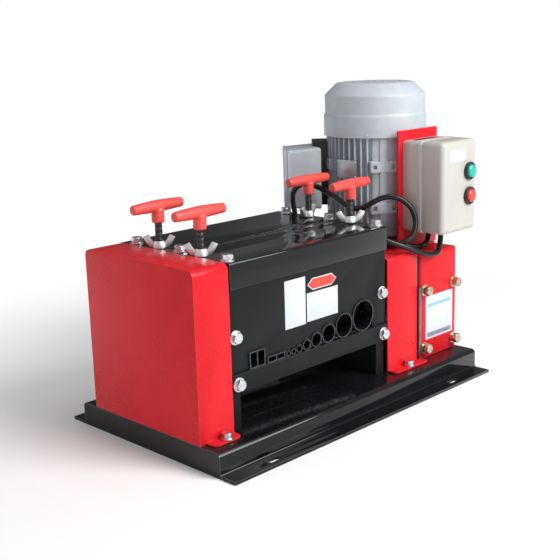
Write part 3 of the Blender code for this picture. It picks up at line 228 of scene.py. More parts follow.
looks = {
    # gloss red enamel on bent sheet steel: even bright red, faint orange peel, lighter rubbed bends
    "redEnamel": {"slot": "red_paint", "colour": "DA222C", "shade": "D01C26", "patch": 60, "grain": 2.2,
                  "height": 0.006, "rough": (0.18, 0.32), "edge": "F27A74", "edgeWidth": 1.0,
                  "edgeAmount": 0.9, "dust": 0.03, "speck": 4,
                  "sockets": {"Specular IOR Level": 0.16}},
    # gloss black enamel on the base and the lids: mirror-like, with dust, fine wear and a painted highlight
    # in its pale edge colour along edges and bends
    "blackEnamel": {"slot": "black_paint", "colour": "0E0F13", "shade": "131519", "patch": 45, "grain": 3.0,
                    "height": 0.003, "rough": (0.05, 0.13), "edge": "8A8F96", "edgeWidth": 0.9,
                    "edgeAmount": 1.4, "dust": 0.035, "speck": 2,
                    "sockets": {"Specular IOR Level": 0.34}},
    # satin black paint on the front plate and the frame plates: greyer, softer shine
    "satinBlack": {"slot": "black_paint", "colour": "1A1C1C", "shade": "1F2121", "patch": 70, "grain": 1.2,
                   "height": 0.01, "rough": (0.36, 0.52), "edge": "6C7072", "edgeWidth": 0.9,
                   "edgeAmount": 0.9, "sockets": {"Specular IOR Level": 0.14}},
    # blue grey machine paint over cast aluminium: slightly rough, with casting waviness
    "greyMachinePaint": {"slot": "grey_paint", "colour": "BEC5CC", "shade": "B3BAC2", "patch": 35,
                         "grain": 2.4, "height": 0.03, "rough": (0.32, 0.46), "edge": "DDE2E6",
                         "edgeWidth": 1.0, "edgeAmount": 0.8, "dust": 0.1, "speck": 6},
    # moulded cream ABS of the switch box: fine spark texture, soft sheen
    "creamAbs": {"slot": "cream_plastic", "colour": "C1BEB9", "shade": "BCB9B3", "patch": 90, "grain": 0.7,
                 "height": 0.012, "rough": (0.36, 0.48), "sockets": {"IOR": 1.54}},
    # moulded red nylon of the T handles: soft shine with light flow marks
    "redNylon": {"slot": "red_plastic", "colour": "E8544E", "shade": "E04A45", "patch": 18, "grain": 0.9,
                 "height": 0.014, "rough": (0.3, 0.44), "edge": "F59A92", "edgeWidth": 0.8,
                 "edgeAmount": 0.5, "sockets": {"Subsurface Weight": 0.06,
                                                "Subsurface Radius": (0.004, 0.001, 0.001)}},
    # button caps of polycarbonate: clean and glossy
    "tealPolycarbonate": {"slot": "green_plastic", "colour": "25B3A0", "shade": "21AB98", "patch": 14,
                          "grain": 0.8, "height": 0.006, "rough": (0.2, 0.3), "sockets": {"IOR": 1.58}},
    "redPolycarbonate": {"slot": "red_plastic", "colour": "E04840", "shade": "D9403A", "patch": 14,
                         "grain": 0.8, "height": 0.006, "rough": (0.2, 0.3), "sockets": {"IOR": 1.58}},
    # bright zinc plating on bolts and screws: pale, slightly blue, soft mirror
    "brightZinc": {"slot": "zinc", "colour": "E3E6E9", "shade": "CDD1D6", "patch": 6, "grain": 0.8,
                   "height": 0.012, "rough": (0.24, 0.4), "sockets": {"Metallic": 1.0}},
    # zinc of the stand's bolts: pale with straw and olive patches
    "yellowZinc": {"slot": "zinc", "colour": "DCD9CE", "shade": "B5A67C", "patch": 7, "grain": 0.8,
                   "height": 0.012, "rough": (0.24, 0.4), "sockets": {"Metallic": 1.0}},
    # die cast zinc of the wing nuts: pale and satin, with a faint casting skin
    "castZinc": {"slot": "zinc", "colour": "E9EAEC", "shade": "D6D8DB", "patch": 9, "grain": 1.1,
                 "height": 0.03, "rough": (0.38, 0.54), "edge": "F6F6F6", "edgeWidth": 0.5,
                 "edgeAmount": 0.6, "sockets": {"Metallic": 0.85}},
    # brushed aluminium of the blank motor plate: pale, matt, with fine lines
    "plainAluminium": {"slot": "zinc", "colour": "B4B9BF", "shade": "A6ABB1", "patch": 12, "grain": 0.6,
                       "height": 0.008, "rough": (0.34, 0.5), "stretch": (1, 1, 9),
                       "sockets": {"Metallic": 0.9}},
    # turned steel of shafts, rollers and blades: fine rings around the axis
    "turnedSteel": {"slot": "steel", "colour": "A9ABAD", "shade": "8E9092", "patch": 20, "grain": 0.9,
                    "height": 0.02, "rough": (0.22, 0.4), "ridge": 0.5, "ridgeAlong": "X",
                    "sockets": {"Metallic": 1.0}},
    # milled steel blocks and plates: flat grey, straight fine cutter marks
    "milledSteel": {"slot": "steel", "colour": "8F9193", "shade": "7D7F81", "patch": 24, "grain": 0.8,
                    "height": 0.02, "rough": (0.3, 0.5), "stretch": (1, 12, 12),
                    "sockets": {"Metallic": 1.0}},
    # oiled black oxide on the threaded screws: dark, with worn thread crests
    "blackOxide": {"slot": "steel", "colour": "3B3C3E", "shade": "2A2B2D", "patch": 8, "grain": 0.7,
                   "height": 0.015, "rough": (0.32, 0.5), "edge": "A0A2A4", "edgeWidth": 0.5,
                   "edgeAmount": 1.0, "sockets": {"Metallic": 0.8}},
    # PVC sheath of the leads: black, smooth and slightly waxy
    "blackPvc": {"slot": "black_rubber", "colour": "0E0F12", "shade": "141518", "patch": 30, "grain": 1.0,
                 "height": 0.01, "rough": (0.2, 0.32), "sockets": {"IOR": 1.53, "Specular IOR Level": 0.4}},
    # moulded black nylon of glands and button collars: dull black; it also colours the block of painted shade
    # between the motor's fins and the terminal box
    "blackNylon": {"slot": "black_rubber", "colour": "191A1D", "shade": "202225", "patch": 12, "grain": 0.7,
                   "height": 0.012, "rough": (0.3, 0.45)},
}
# vinyl film of the blank plates, their bands and the badge: even colour, smooth, soft shine
for name, slot, colour, shade, patch in (("whiteVinyl", "cream_plastic", "D3D9DE", "CBD2D8", 30),
                                         ("redVinyl", "red_plastic", "E2483C", "DA4034", 20),
                                         ("blueVinyl", "cream_plastic", "8FC3DE", "7FB7D6", 16),
                                         ("violetVinyl", "cream_plastic", "77728F", "8A7F98", 9)):
    looks[name] = {"slot": slot, "colour": colour, "shade": shade, "patch": patch, "grain": 1.5,
                   "height": 0.006, "rough": (0.22, 0.34)}
finishes = {name: finishMaterial(name, look) for name, look in looks.items()}
print("stage 2:", len(finishes), "finishes made")


# Solid tools, in machine millimetres

def draft(mesh):
    thing = bpy.data.objects.new("draft", mesh)
    bpy.context.scene.collection.objects.link(thing)
    return thing


def fromBuilder(builder):
    mesh = bpy.data.meshes.new("draft")
    bmesh.ops.remove_doubles(builder, verts=builder.verts, dist=0.0005)
    bmesh.ops.recalc_face_normals(builder, faces=builder.faces)
    builder.to_mesh(mesh)
    builder.free()
    return draft(mesh)


def along(axis, across, up, distance):
    return {"x": Vector((distance, across, up)), "y": Vector((across, distance, up)),
            "z": Vector((across, up, distance))}[axis]


def prism(outline, axis, start, end):
    builder = bmesh.new()
    near = [builder.verts.new(along(axis, across, up, start)) for across, up in outline]
    far = [builder.verts.new(along(axis, across, up, end)) for across, up in outline]
    builder.faces.new(near)
    builder.faces.new(far)
    for index in range(len(outline)):
        follow = (index + 1) % len(outline)
        builder.faces.new((near[index], near[follow], far[follow], far[index]))
    return fromBuilder(builder)


def block(low, high):
    return prism([(low[1], low[2]), (high[1], low[2]), (high[1], high[2]), (low[1], high[2])],
                 "x", low[0], high[0])


def turned(profile, axis="z", centre=(0, 0), steps=48):
    # a profile of (radius, distance) turned around an axis; a radius of 0 is a pole
    builder = bmesh.new()
    angles = [2 * math.pi * step / steps for step in range(steps)]
    rings = []
    for radius, distance in profile:
        ring = [along(axis, centre[0] + radius * math.cos(angle), centre[1] + radius * math.sin(angle),
                      distance) for angle in (angles if radius else angles[:1])]
        rings.append([builder.verts.new(place) for place in ring])
    for first, second in zip(rings, rings[1:] + rings[:1]):
        if len(first) == 1 and len(second) == 1:
            continue
        for step in range(steps):
            follow = (step + 1) % steps
            corners = [first[step % len(first)], first[follow % len(first)],
                       second[follow % len(second)], second[step % len(second)]]
            kept = [corner for index, corner in enumerate(corners) if corner not in corners[:index]]
            builder.faces.new(kept)
    return fromBuilder(builder)


def cylinder(radius, axis, centre, start, end, steps=32):
    return turned([(0, start), (radius, start), (radius, end), (0, end)], axis, centre, steps)


def roundedBox(low, high, radius, square=(), steps=6):
    # square names the faces whose edges stay sharp, such as "+x"
    thing = block(low, high)
    builder = bmesh.new()
    builder.from_mesh(thing.data)
    bpy.data.objects.remove(thing)
    sides = {"-x": (0, low[0]), "+x": (0, high[0]), "-y": (1, low[1]), "+y": (1, high[1]),
             "-z": (2, low[2]), "+z": (2, high[2])}
    edges = [edge for edge in builder.edges
             if not any(all(abs(vert.co[sides[side][0]] - sides[side][1]) < 0.01 for vert in edge.verts)
                        for side in square)]
    bmesh.ops.bevel(builder, geom=edges, offset=radius, segments=steps, profile=0.5, affect="EDGES")
    return fromBuilder(builder)


def baked(thing):
    bpy.context.view_layer.update()
    graph = bpy.context.evaluated_depsgraph_get()
    mesh = bpy.data.meshes.new_from_object(thing.evaluated_get(graph), depsgraph=graph)
    thing.modifiers.clear()
    thing.data = mesh
    return thing


def combined(thing, others, operation):
    for other in others:
        modifier = thing.modifiers.new("combine", "BOOLEAN")
        modifier.operation = operation
        modifier.solver = "EXACT"
        modifier.object = other
        baked(thing)
        bpy.data.objects.remove(other)
    return thing


def cutAway(thing, *others):
    return combined(thing, others, "DIFFERENCE")


def joined(thing, *others):
    return combined(thing, others, "UNION")


def merged(things):
    # several separate bodies in one mesh
    builder = bmesh.new()
    for thing in things:
        builder.from_mesh(thing.data)
        bpy.data.objects.remove(thing)
    mesh = bpy.data.meshes.new("draft")
    builder.to_mesh(mesh)
    builder.free()
    return draft(mesh)


def softened(thing, width, segments=2, angle=30):
    modifier = thing.modifiers.new("soften", "BEVEL")
    modifier.width = width
    modifier.segments = segments
    modifier.limit_method = "ANGLE"
    modifier.angle_limit = math.radians(angle)
    return baked(thing)


def turnedAbout(thing, centre, degrees, axis="Z"):
    centre = Vector(centre)
    thing.data.transform(Matrix.Translation(centre) @ Matrix.Rotation(math.radians(degrees), 4, axis)
                         @ Matrix.Translation(-centre))
    return thing


def arc(centre, radius, start, end, steps):
    return [(centre[0] + radius * math.cos(math.radians(start + (end - start) * step / steps)),
             centre[1] + radius * math.sin(math.radians(start + (end - start) * step / steps)))
            for step in range(steps + 1)]


def wayAt(degrees):
    # the level direction at an angle around an upright axis
    return Vector((math.cos(math.radians(degrees)), math.sin(math.radians(degrees)), 0))


def finishPiece(thing, name, finish, body="frame", stands=(), sharp=32):
    thing.data.transform(toRow)
    thing.name = name
    thing.data.name = name
    if not thing.data.materials or thing.data.materials[0] is None:
        thing.data.materials.clear()
        thing.data.materials.append(finishes[finish])
    thing.data.shade_smooth()
    thing.data.set_sharp_from_angle(angle=math.radians(sharp))
    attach(thing, body)
    if stands:
        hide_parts(*stands)
    return thing


# Geometry Nodes for what repeats

def nodeTree(name, inputs):
    tree = bpy.data.node_groups.new(name, "GeometryNodeTree")
    tree.interface.new_socket(name="Geometry", in_out="OUTPUT", socket_type="NodeSocketGeometry")
    for label, kind in [("Geometry", "Geometry")] + inputs + [("Material", "Material")]:
        tree.interface.new_socket(name=label, in_out="INPUT", socket_type="NodeSocket" + kind)
    return tree, tree.nodes.new("NodeGroupInput").outputs


def closeTree(tree, geometry, material):
    whole = addNode(tree, "GeometryNodeRealizeInstances", {0: geometry}).outputs[0]
    coated = addNode(tree, "GeometryNodeSetMaterial", {"Geometry": whole, "Material": material}).outputs[0]
    addNode(tree, "NodeGroupOutput", {0: coated})
    return tree


def grow(tree, points, settings):
    # runs a tree on a cloud of points (place, direction) and returns its plain mesh
    mesh = bpy.data.meshes.new("places")
    mesh.from_pydata([place for place, facing in points], [], [])
    facings = mesh.attributes.new("facing", "FLOAT_VECTOR", "POINT")
    for index, (place, facing) in enumerate(points):
        facings.data[index].vector = facing
    thing = draft(mesh)
    modifier = thing.modifiers.new("grow", "NODES")
    modifier.node_group = tree
    for item in tree.interface.items_tree:
        if item.in_out == "INPUT" and item.name in settings:
            modifier[item.identifier] = settings[item.name]
    return baked(thing)


def makeSetTree():
    # one piece stood on every point, its axis along the point's direction, turned at random
    tree, given = nodeTree("standOnPoints", [("Piece", "Object"), ("Size", "Float"), ("Turn", "Float"),
                                             ("Seed", "Int")])
    piece = addNode(tree, "GeometryNodeObjectInfo", {"Object": given["Piece"]}).outputs["Geometry"]
    facing = addNode(tree, "GeometryNodeInputNamedAttribute", {"Name": "facing"},
                     data_type="FLOAT_VECTOR").outputs["Attribute"]
    aimed = addNode(tree, "FunctionNodeAlignRotationToVector", {"Vector": facing}, axis="Z").outputs[0]
    chance = addNode(tree, "FunctionNodeRandomValue", {"Seed": given["Seed"]}, data_type="FLOAT").outputs[1]
    angle = addNode(tree, "ShaderNodeMath", {0: chance, 1: given["Turn"]}, operation="MULTIPLY").outputs[0]
    spin = addNode(tree, "FunctionNodeAxisAngleToRotation", {"Axis": (0, 0, 1), "Angle": angle}).outputs[0]
    turn = addNode(tree, "FunctionNodeRotateRotation", {0: aimed, 1: spin},
                   rotation_space="LOCAL").outputs[0]
    stood = addNode(tree, "GeometryNodeInstanceOnPoints",
                    {"Points": given["Geometry"], "Instance": piece, "Rotation": turn,
                     "Scale": given["Size"]}).outputs[0]
    return closeTree(tree, stood, given["Material"])


def makeThreadTree():
    # a plain core with a triangular ridge wound around it, standing on the first point
    tree, given = nodeTree("threadedRod", [("Radius", "Float"), ("Pitch", "Float"), ("Length", "Float"),
                                           ("Ridge", "Float")])
    turns = addNode(tree, "ShaderNodeMath", {0: given["Length"], 1: given["Pitch"]},
                    operation="DIVIDE").outputs[0]
    middle = addNode(tree, "ShaderNodeMath", {0: given["Radius"], 1: given["Ridge"]},
                     operation="SUBTRACT").outputs[0]
    coil = addNode(tree, "GeometryNodeCurveSpiral",
                   {"Resolution": 20, "Rotations": turns, "Start Radius": middle, "End Radius": middle,
                    "Height": given["Length"]}).outputs[0]
    ridge = addNode(tree, "GeometryNodeCurvePrimitiveCircle",
                    {"Resolution": 4, "Radius": given["Ridge"]}).outputs[0]
    wound = addNode(tree, "GeometryNodeCurveToMesh", {"Curve": coil, "Profile Curve": ridge,
                                                      "Fill Caps": True}).outputs[0]
    core = addNode(tree, "GeometryNodeMeshCylinder",
                   {"Vertices": 24, "Radius": middle, "Depth": given["Length"]}).outputs[0]
    half = addNode(tree, "ShaderNodeMath", {0: given["Length"], 1: 0.5}, operation="MULTIPLY").outputs[0]
    lift = addNode(tree, "ShaderNodeCombineXYZ", {"Z": half}).outputs[0]
    raised = addNode(tree, "GeometryNodeTransform", {"Geometry": core, "Translation": lift}).outputs[0]
    both = addNode(tree, "GeometryNodeJoinGeometry")
    for shape in (wound, raised):
        tree.links.new(shape, both.inputs[0])
    stood = addNode(tree, "GeometryNodeInstanceOnPoints", {"Points": given["Geometry"],
                                                           "Instance": both.outputs[0]}).outputs[0]
    return closeTree(tree, stood, given["Material"])


def makeHoleTree():
    # the body of one object with a round hole through it at every point
    tree, given = nodeTree("perforate", [("Body", "Object"), ("Hole Radius", "Float"), ("Depth", "Float")])
    body = addNode(tree, "GeometryNodeObjectInfo", {"Object": given["Body"]}).outputs["Geometry"]
    drill = addNode(tree, "GeometryNodeMeshCylinder", {"Vertices": 14, "Radius": given["Hole Radius"],
                                                       "Depth": given["Depth"]}).outputs[0]
    drills = addNode(tree, "GeometryNodeInstanceOnPoints", {"Points": given["Geometry"],
                                                            "Instance": drill}).outputs[0]
    pierced = addNode(tree, "GeometryNodeMeshBoolean", {"Mesh 1": body, "Mesh 2": drills},
                      operation="DIFFERENCE").outputs[0]
    return closeTree(tree, pierced, given["Material"])


def makeFinTree():
    # one piece turned around the upright axis of every point, left out over two pads
    tree, given = nodeTree("finRing", [("Fin", "Object"), ("Fins", "Int"), ("First Pad", "Float"),
                                       ("Second Pad", "Float"), ("Pad Angle", "Float")])
    copies = addNode(tree, "GeometryNodeDuplicateElements",
                     {"Geometry": given["Geometry"], "Amount": given["Fins"]}, domain="POINT").outputs
    part = addNode(tree, "ShaderNodeMath", {0: 2 * math.pi, 1: given["Fins"]}, operation="DIVIDE").outputs[0]
    angle = addNode(tree, "ShaderNodeMath", {0: copies[1], 1: part}, operation="MULTIPLY").outputs[0]
    kept = 1.0
    for pad in ("First Pad", "Second Pad"):
        apart = addNode(tree, "ShaderNodeMath", {0: angle, 1: given[pad]}, operation="SUBTRACT").outputs[0]
        within = addNode(tree, "ShaderNodeMath", {0: apart, 1: math.pi, 2: -math.pi},
                         operation="WRAP").outputs[0]
        away = addNode(tree, "ShaderNodeMath", {0: within}, operation="ABSOLUTE").outputs[0]
        clear = addNode(tree, "ShaderNodeMath", {0: away, 1: given["Pad Angle"]},
                        operation="GREATER_THAN").outputs[0]
        kept = addNode(tree, "ShaderNodeMath", {0: kept, 1: clear}, operation="MULTIPLY").outputs[0]
    fin = addNode(tree, "GeometryNodeObjectInfo", {"Object": given["Fin"]}).outputs["Geometry"]
    turn = addNode(tree, "FunctionNodeAxisAngleToRotation", {"Axis": (0, 0, 1), "Angle": angle}).outputs[0]
    ring = addNode(tree, "GeometryNodeInstanceOnPoints",
                   {"Points": copies[0], "Instance": fin, "Rotation": turn, "Selection": kept}).outputs[0]
    return closeTree(tree, ring, given["Material"])


setTree = makeSetTree()
threadTree = makeThreadTree()
holeTree = makeHoleTree()
finTree = makeFinTree()
anyTurn = 6.283     # fasteners stand turned at random, up to one whole turn


def standOn(points, piece, name, finish, size=1.0, seed=3, stands=(), remove=True):
    made = grow(setTree, points, {"Piece": piece, "Size": size, "Turn": anyTurn, "Seed": seed,
                                  "Material": finishes[finish]})
    if remove:
        bpy.data.objects.remove(piece)
    return finishPiece(made, name, finish, stands=stands)


def boltHead(acrossFlats, head, washer=0.0, spring=0.0):
    # a hexagon head with turned corners, on a flat washer and a spring washer, standing up from z 0
    radius = acrossFlats / math.sqrt(3)
    low = washer + spring
    hexagon = prism(arc((0, 0), radius, 0, 300, 5), "z", low, low + head)
    cone = turned([(0, low - 1), (radius * 1.02, low - 1), (radius * 1.02, low + 0.72 * head),
                   (radius * 0.86, low + head), (0, low + head)], steps=32)
    parts = [combined(hexagon, [cone], "INTERSECT")]
    if washer:
        parts.append(turned([(0, 0), (radius * 1.18, 0), (radius * 1.22, 0.2), (radius * 1.22, washer - 0.2),
                             (radius * 1.18, washer), (0, washer)], steps=32))
    if spring:
        inner = radius * 0.94
        parts.append(turned([(0, washer), (inner, washer + 0.1), (inner, low - 0.1), (0, low)], steps=24))
    return merged(parts)


setCamera()
setLights()
layFloor()

# Leads: the routes of part.py between the terminal box and the switch box

leadSet = {"diameter": 8.0, "straight": 4.0, "steps": 10, "finish": "blackPvc"}
leadRoutes = {
    "upperLead": {"node": "upper_lead", "start": (389.3, 220.8, 234.3), "end": (488.1, 39.4, 211.2),
                  "middle": [
        (388, 219.8, 219.5), (383, 217.5, 210.5), (373.5, 214.5, 206.5), (364.5, 212.3, 210.5),
        (359.6, 211.8, 220), (358.6, 212, 233), (357.8, 213, 247), (355.5, 214, 261), (355.5, 212.5, 274),
        (360, 207.5, 283.5), (368, 200.5, 286.5), (377, 192, 284.5), (384, 181, 279),
        (388, 163, 270), (387, 142, 261), (386, 122, 255.5), (389, 107, 257), (397, 96, 264),
        (406, 86, 270.5), (416, 75, 272.5), (426, 65, 268.5), (434, 56.5, 259), (438, 50.5, 246),
        (436.5, 47, 231.5), (428.5, 46.5, 217), (415, 51.5, 207.5), (402.5, 64, 203.5), (395, 83, 203.3),
        (388.5, 100, 205.5), (378, 111.5, 210.5), (366.5, 110.5, 217), (360, 98, 222.5), (359, 81, 225),
        (363.5, 64.5, 223.5), (372, 50, 218.5), (386, 38, 211.5), (403, 30, 203.5), (421, 26, 196),
        (440, 24.3, 190.3), (456, 24.6, 188.6), (466, 27.2, 190.2), (473.5, 31, 194), (479.5, 34.6, 197.5),
        (484.5, 37.4, 201.5)]},
    "lowerLead": {"node": "lower_lead", "start": (409.1, 240.6, 234.3), "end": (488.1, 61.0, 211.2),
                  "middle": [
        (408, 238.5, 219.5), (404, 231.5, 210), (398.5, 219, 205), (394.5, 203, 203.3), (392.3, 186, 203.3),
        (394, 163, 203.3), (401, 140, 203.3), (407, 115, 203.3), (412.5, 92, 203.3), (421, 74, 203),
        (433, 62.5, 199.8), (447, 57.5, 196.3), (460, 56.3, 194.9), (472.1, 57.8, 194.9),
        (478.5, 59, 196.2), (483.6, 60.1, 199.7)]},
}


def smoothRoute(places):
    # even points on a smooth curve through the inner places, between the straight ends
    dense = []
    for index in range(1, len(places) - 2):
        before, start, end, after = places[index - 1:index + 3]
        for step in range(leadSet["steps"]):
            share = step / leadSet["steps"]
            dense.append(0.5 * (2 * start + (end - before) * share
                                + (2 * before - 5 * start + 4 * end - after) * share ** 2
                                + (3 * start - before - 3 * end + after) * share ** 3))
    return [places[0]] + dense + places[-2:]


def makeLeads():
    for name, lead in leadRoutes.items():
        start, end = Vector(lead["start"]), Vector(lead["end"])
        straight = Vector((0, 0, leadSet["straight"]))
        middle = [Vector(place) for place in lead["middle"]]
        places = [start, start - straight] + middle + [end - straight, end]
        route = [rowPoint(*place) for place in smoothRoute(places)]
        curve = bpy.data.curves.new(name, "CURVE")
        curve.dimensions = "3D"
        curve.bevel_depth = leadSet["diameter"] / 2 * mm
        curve.bevel_resolution = 4
        curve.use_fill_caps = True
        spline = curve.splines.new("POLY")
        spline.points.add(len(route) - 1)
        for point, place in zip(spline.points, route):
            point.co = (*place, 1)
        curve.materials.append(finishes[leadSet["finish"]])
        thing = bpy.data.objects.new(name, curve)
        bpy.context.scene.collection.objects.link(thing)
        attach(thing, "frame")
        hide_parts(lead["node"])


makeLeads()
print("stage 3: camera, lights and leads set")

# Places that several pieces share

# left and right are the body's sides, floor is the base's top, and the lids lie between under and top;
# screws stand in two columns and two rows, and rollers, blades and press are the heights of their shafts
bodySet = {"left": 56.7, "right": 351.7, "floor": 31.3, "under": 241.4, "top": 244.4,
           "columns": (64.7, 343.7), "frontRow": 91, "rearRow": 171, "screwBore": 5.4,
           "rollers": 83, "blades": 160.5, "press": 138, "motor": (484.1, 160)}
rowDepths = (bodySet["frontRow"], bodySet["rearRow"])
bodySpan = (bodySet["left"], bodySet["right"])

# Base and covers

baseSet = {"length": 525, "depth": 271, "height": 31, "sheet": 4, "fold": 6, "flange": 25.5,
           "slotLength": 22, "slotWidth": 9, "slotInset": 76}


def makeBase():
    base = baseSet
    sheet, inner, top, depth = base["sheet"], base["fold"] - base["sheet"], base["height"], base["depth"]
    front = [(-base["flange"], 0), (-base["flange"], sheet)]
    front += arc((-inner, sheet + inner), inner, -90, 0, 6)
    front += arc((base["fold"], top - base["fold"]), base["fold"], 180, 90, 10)
    back = [(depth - across, up) for across, up in reversed(front)]
    inside = arc((base["fold"], top - base["fold"]), inner, 90, 180, 6) + [(sheet, 0)]
    insideBack = [(depth - across, up) for across, up in reversed(inside)]
    plate = prism(front + back + insideBack + inside, "x", 0, base["length"])
    for start in (0, base["length"] - sheet):
        closing = block((start, sheet / 2, hair), (start + sheet, depth - sheet / 2, top - sheet / 2))
        plate = joined(plate, closing)
    half = (base["slotLength"] - base["slotWidth"]) / 2
    for across in (base["slotInset"], base["length"] - base["slotInset"]):
        for deep in (-base["flange"] / 2, depth + base["flange"] / 2):
            outline = (arc((across + half, deep), base["slotWidth"] / 2, -90, 90, 12)
                       + arc((across - half, deep), base["slotWidth"] / 2, 90, 270, 12))
            plate = cutAway(plate, prism(outline, "z", -sheet, 2 * sheet))
    finishPiece(softened(plate, 0.35), "basePlateSheet", "blackEnamel", stands=("base_plate",))


coverSet = {"wall": 2.5, "tabReach": 17, "tabCorner": 8,
            "gearLow": (0, 33.4, 31.3), "gearHigh": (55, 242.4, 245), "gearBend": 9,
            "gearTab": (9, 54.7), "gearSeats": (34.65, 241.15),
            "couplingLow": (355.1, 33.5, 31.3), "couplingHigh": (423.1, 153.5, 197), "couplingBend": 5,
            "couplingTab": (355.4, 432.1), "couplingSeat": 34.75,
            "stripLow": (425.2, 30.5, 31.4), "stripHigh": (430.4, 36.0, 142),
            # the next two corners bound a black plate that paints the shade in the gap beside the stand
            "edgeLow": (424.2, 35.5, 142.3), "edgeHigh": (431.6, 38.5, 188),
            "rivets": ((414.5, 33.6, 62), (414.5, 33.6, 146))}


def footTab(span, seat, toward):
    # a foot with two round corners, bent out from the cover's lower edge
    (left, right), corner, floor = span, coverSet["tabCorner"], bodySet["floor"]
    inner = seat + toward * (coverSet["tabReach"] - corner)
    outline = [(left, seat), (right, seat)]
    outline += arc((right - corner, inner), corner, 0, toward * 90, 8)
    outline += arc((left + corner, inner), corner, toward * 90, toward * 180, 8)
    return prism(outline, "z", floor, floor + coverSet["wall"])


def coverShell(low, high, corner, closedLeft):
    # a strip bent over front, top and back, with a flat plate welded to its left side if that is closed
    wall = coverSet["wall"]

    def strip(inset, start, end):
        left, right, under, top = low[1] + inset, high[1] - inset, low[2] - inset, high[2] - inset
        bend = corner - inset
        outline = [(left, under), (right, under)] + arc((right - bend, top - bend), bend, 0, 90, 10)
        outline += arc((left + bend, top - bend), bend, 90, 180, 10)
        return prism(outline, "x", start, end)

    hollow = strip(wall, low[0] + wall if closedLeft else low[0] - wall, high[0] + wall)
    return cutAway(strip(0, low[0], high[0]), hollow)


def makeCovers():
    cover = coverSet
    gear = coverShell(cover["gearLow"], cover["gearHigh"], cover["gearBend"], True)
    for seat, toward in zip(cover["gearSeats"], (-1, 1)):
        gear = joined(gear, footTab(cover["gearTab"], seat, toward))
    finishPiece(softened(gear, 0.7, 3), "gearCoverSheet", "redEnamel", stands=("gear_cover",))
    side = coverShell(cover["couplingLow"], cover["couplingHigh"], cover["couplingBend"], False)
    side = joined(side, footTab(cover["couplingTab"], cover["couplingSeat"], -1))
    finishPiece(softened(side, 0.4), "couplingCoverSheet", "redEnamel", stands=("coupling_cover",))
    # the edge of the worm gear's case between the coupling cover and the stand, in bare steel, and above it a
    # black plate that paints the shade in the gap
    finishPiece(softened(block(cover["stripLow"], cover["stripHigh"]), 0.5), "caseEdgeStrip", "milledSteel")
    finishPiece(softened(block(cover["edgeLow"], cover["edgeHigh"]), 0.5), "caseEdgePlate", "satinBlack")
    rivet = turned([(0, -0.4), (3.4, -0.4), (3.4, 0.2), (2.6, 1.0), (1.3, 1.5), (0, 1.6)], steps=24)
    standOn([(place, (0, -1, 0)) for place in cover["rivets"]], rivet, "couplingCoverRivets", "redEnamel")


# the lids over the two rows, of which the rear one has two short slots
lidSet = {"front": 32.4, "seam": 124.4, "back": 240.4, "sheet": 3, "lip": 33, "bend": 0.8, "gap": 0.3,
          "slots": ((176, 20), (206, 42)), "slotWidth": 2, "slotDepth": 1.2}


def makeTopCovers():
    (left, right), under, top = bodySpan, bodySet["under"], bodySet["top"]
    front, seam, back, sheet = lidSet["front"], lidSet["seam"], lidSet["back"], lidSet["sheet"]
    bend, gap = lidSet["bend"], lidSet["gap"]
    lip = [(front, top - lidSet["lip"]), (front + sheet, top - lidSet["lip"])]
    lip += arc((front + sheet + bend, under - bend), bend, 180, 90, 3)
    lip += [(seam - gap, under), (seam - gap, top)] + arc((front + sheet, top - sheet), sheet, 90, 180, 8)
    covers = {"Front": prism(lip, "x", left, right),
              "Rear": block((left, seam + gap, under), (right, back, top))}
    for row, deep in zip(covers, rowDepths):
        for across in bodySet["columns"]:
            bore = cylinder(bodySet["screwBore"], "z", (across, deep), under - sheet, top + sheet)
            covers[row] = cutAway(covers[row], bore)
    for start, length in lidSet["slots"]:
        low = (start, seam + 7, top - lidSet["slotDepth"])
        slot = block(low, (start + length, low[1] + lidSet["slotWidth"], top + 2))
        covers["Rear"] = cutAway(covers["Rear"], softened(slot, 0.9, 3))
    for row, cover in covers.items():
        finishPiece(softened(cover, 0.4), "topCover" + row + "Sheet", "blackEnamel",
                    stands=("top_cover_" + row.lower(),))


# Front: guide tubes, plates, bar and blank plates

guideSet = {"rounds": (44, 34, 26, 20, 15, 11, 9, 8), "wall": 1.5, "space": 1.0, "right": 323.7,
            "flats": ((16.5, 9), (16.5, 9), (14, 22), (14, 22)), "flatSpace": 5.5, "floor": 105.3,
            "front": 33.7, "back": 55.7}


def guideOpenings():
    # each opening's left, right and height, and whether it is round, from the right
    edge = guideSet["right"]
    found = []
    for size in guideSet["rounds"]:
        found.append((edge - size, edge, size, True))
        edge -= size + guideSet["space"]
    edge -= guideSet["space"]
    for index, (width, height) in enumerate(guideSet["flats"]):
        if index == 2:
            edge -= guideSet["flatSpace"]
        found.append((edge - width, edge, height, False))
        edge -= width - guideSet["wall"]
    return found


def openingOutline(opening, inset, drop=0):
    # drop runs the opening down past the plate's lower edge
    left, right, height, isRound = opening
    floor = guideSet["floor"]
    if isRound:
        centre = ((left + right) / 2, floor + (right - left) / 2)
        radius = (right - left) / 2 - inset
        steps = 40 if radius > 8 else 24
        if drop:
            return arc(centre, radius, 0, 180, steps // 2) + [(centre[0] - radius, floor - drop),
                                                               (centre[0] + radius, floor - drop)]
        return arc(centre, radius, 0, 360 - 360 / steps, steps - 1)
    low = floor + inset - drop
    return [(left + inset, low), (right - inset, low), (right - inset, floor + height - inset),
            (left + inset, floor + height - inset)]


# depth from front to back and height from low to top of each flat piece
frontSet = {"plate": (35.7, 38.7, 105.3, 241.1), "bar": (32.7, 38.7, 81, 105),
            "rear": (237.4, 240.4, 149.1, 241.1), "gap": 0.3, "drop": 24}


def frontBlock(key):
    front, back, low, high = frontSet[key]
    return block((bodySet["left"], front, low), (bodySet["right"], back, high))


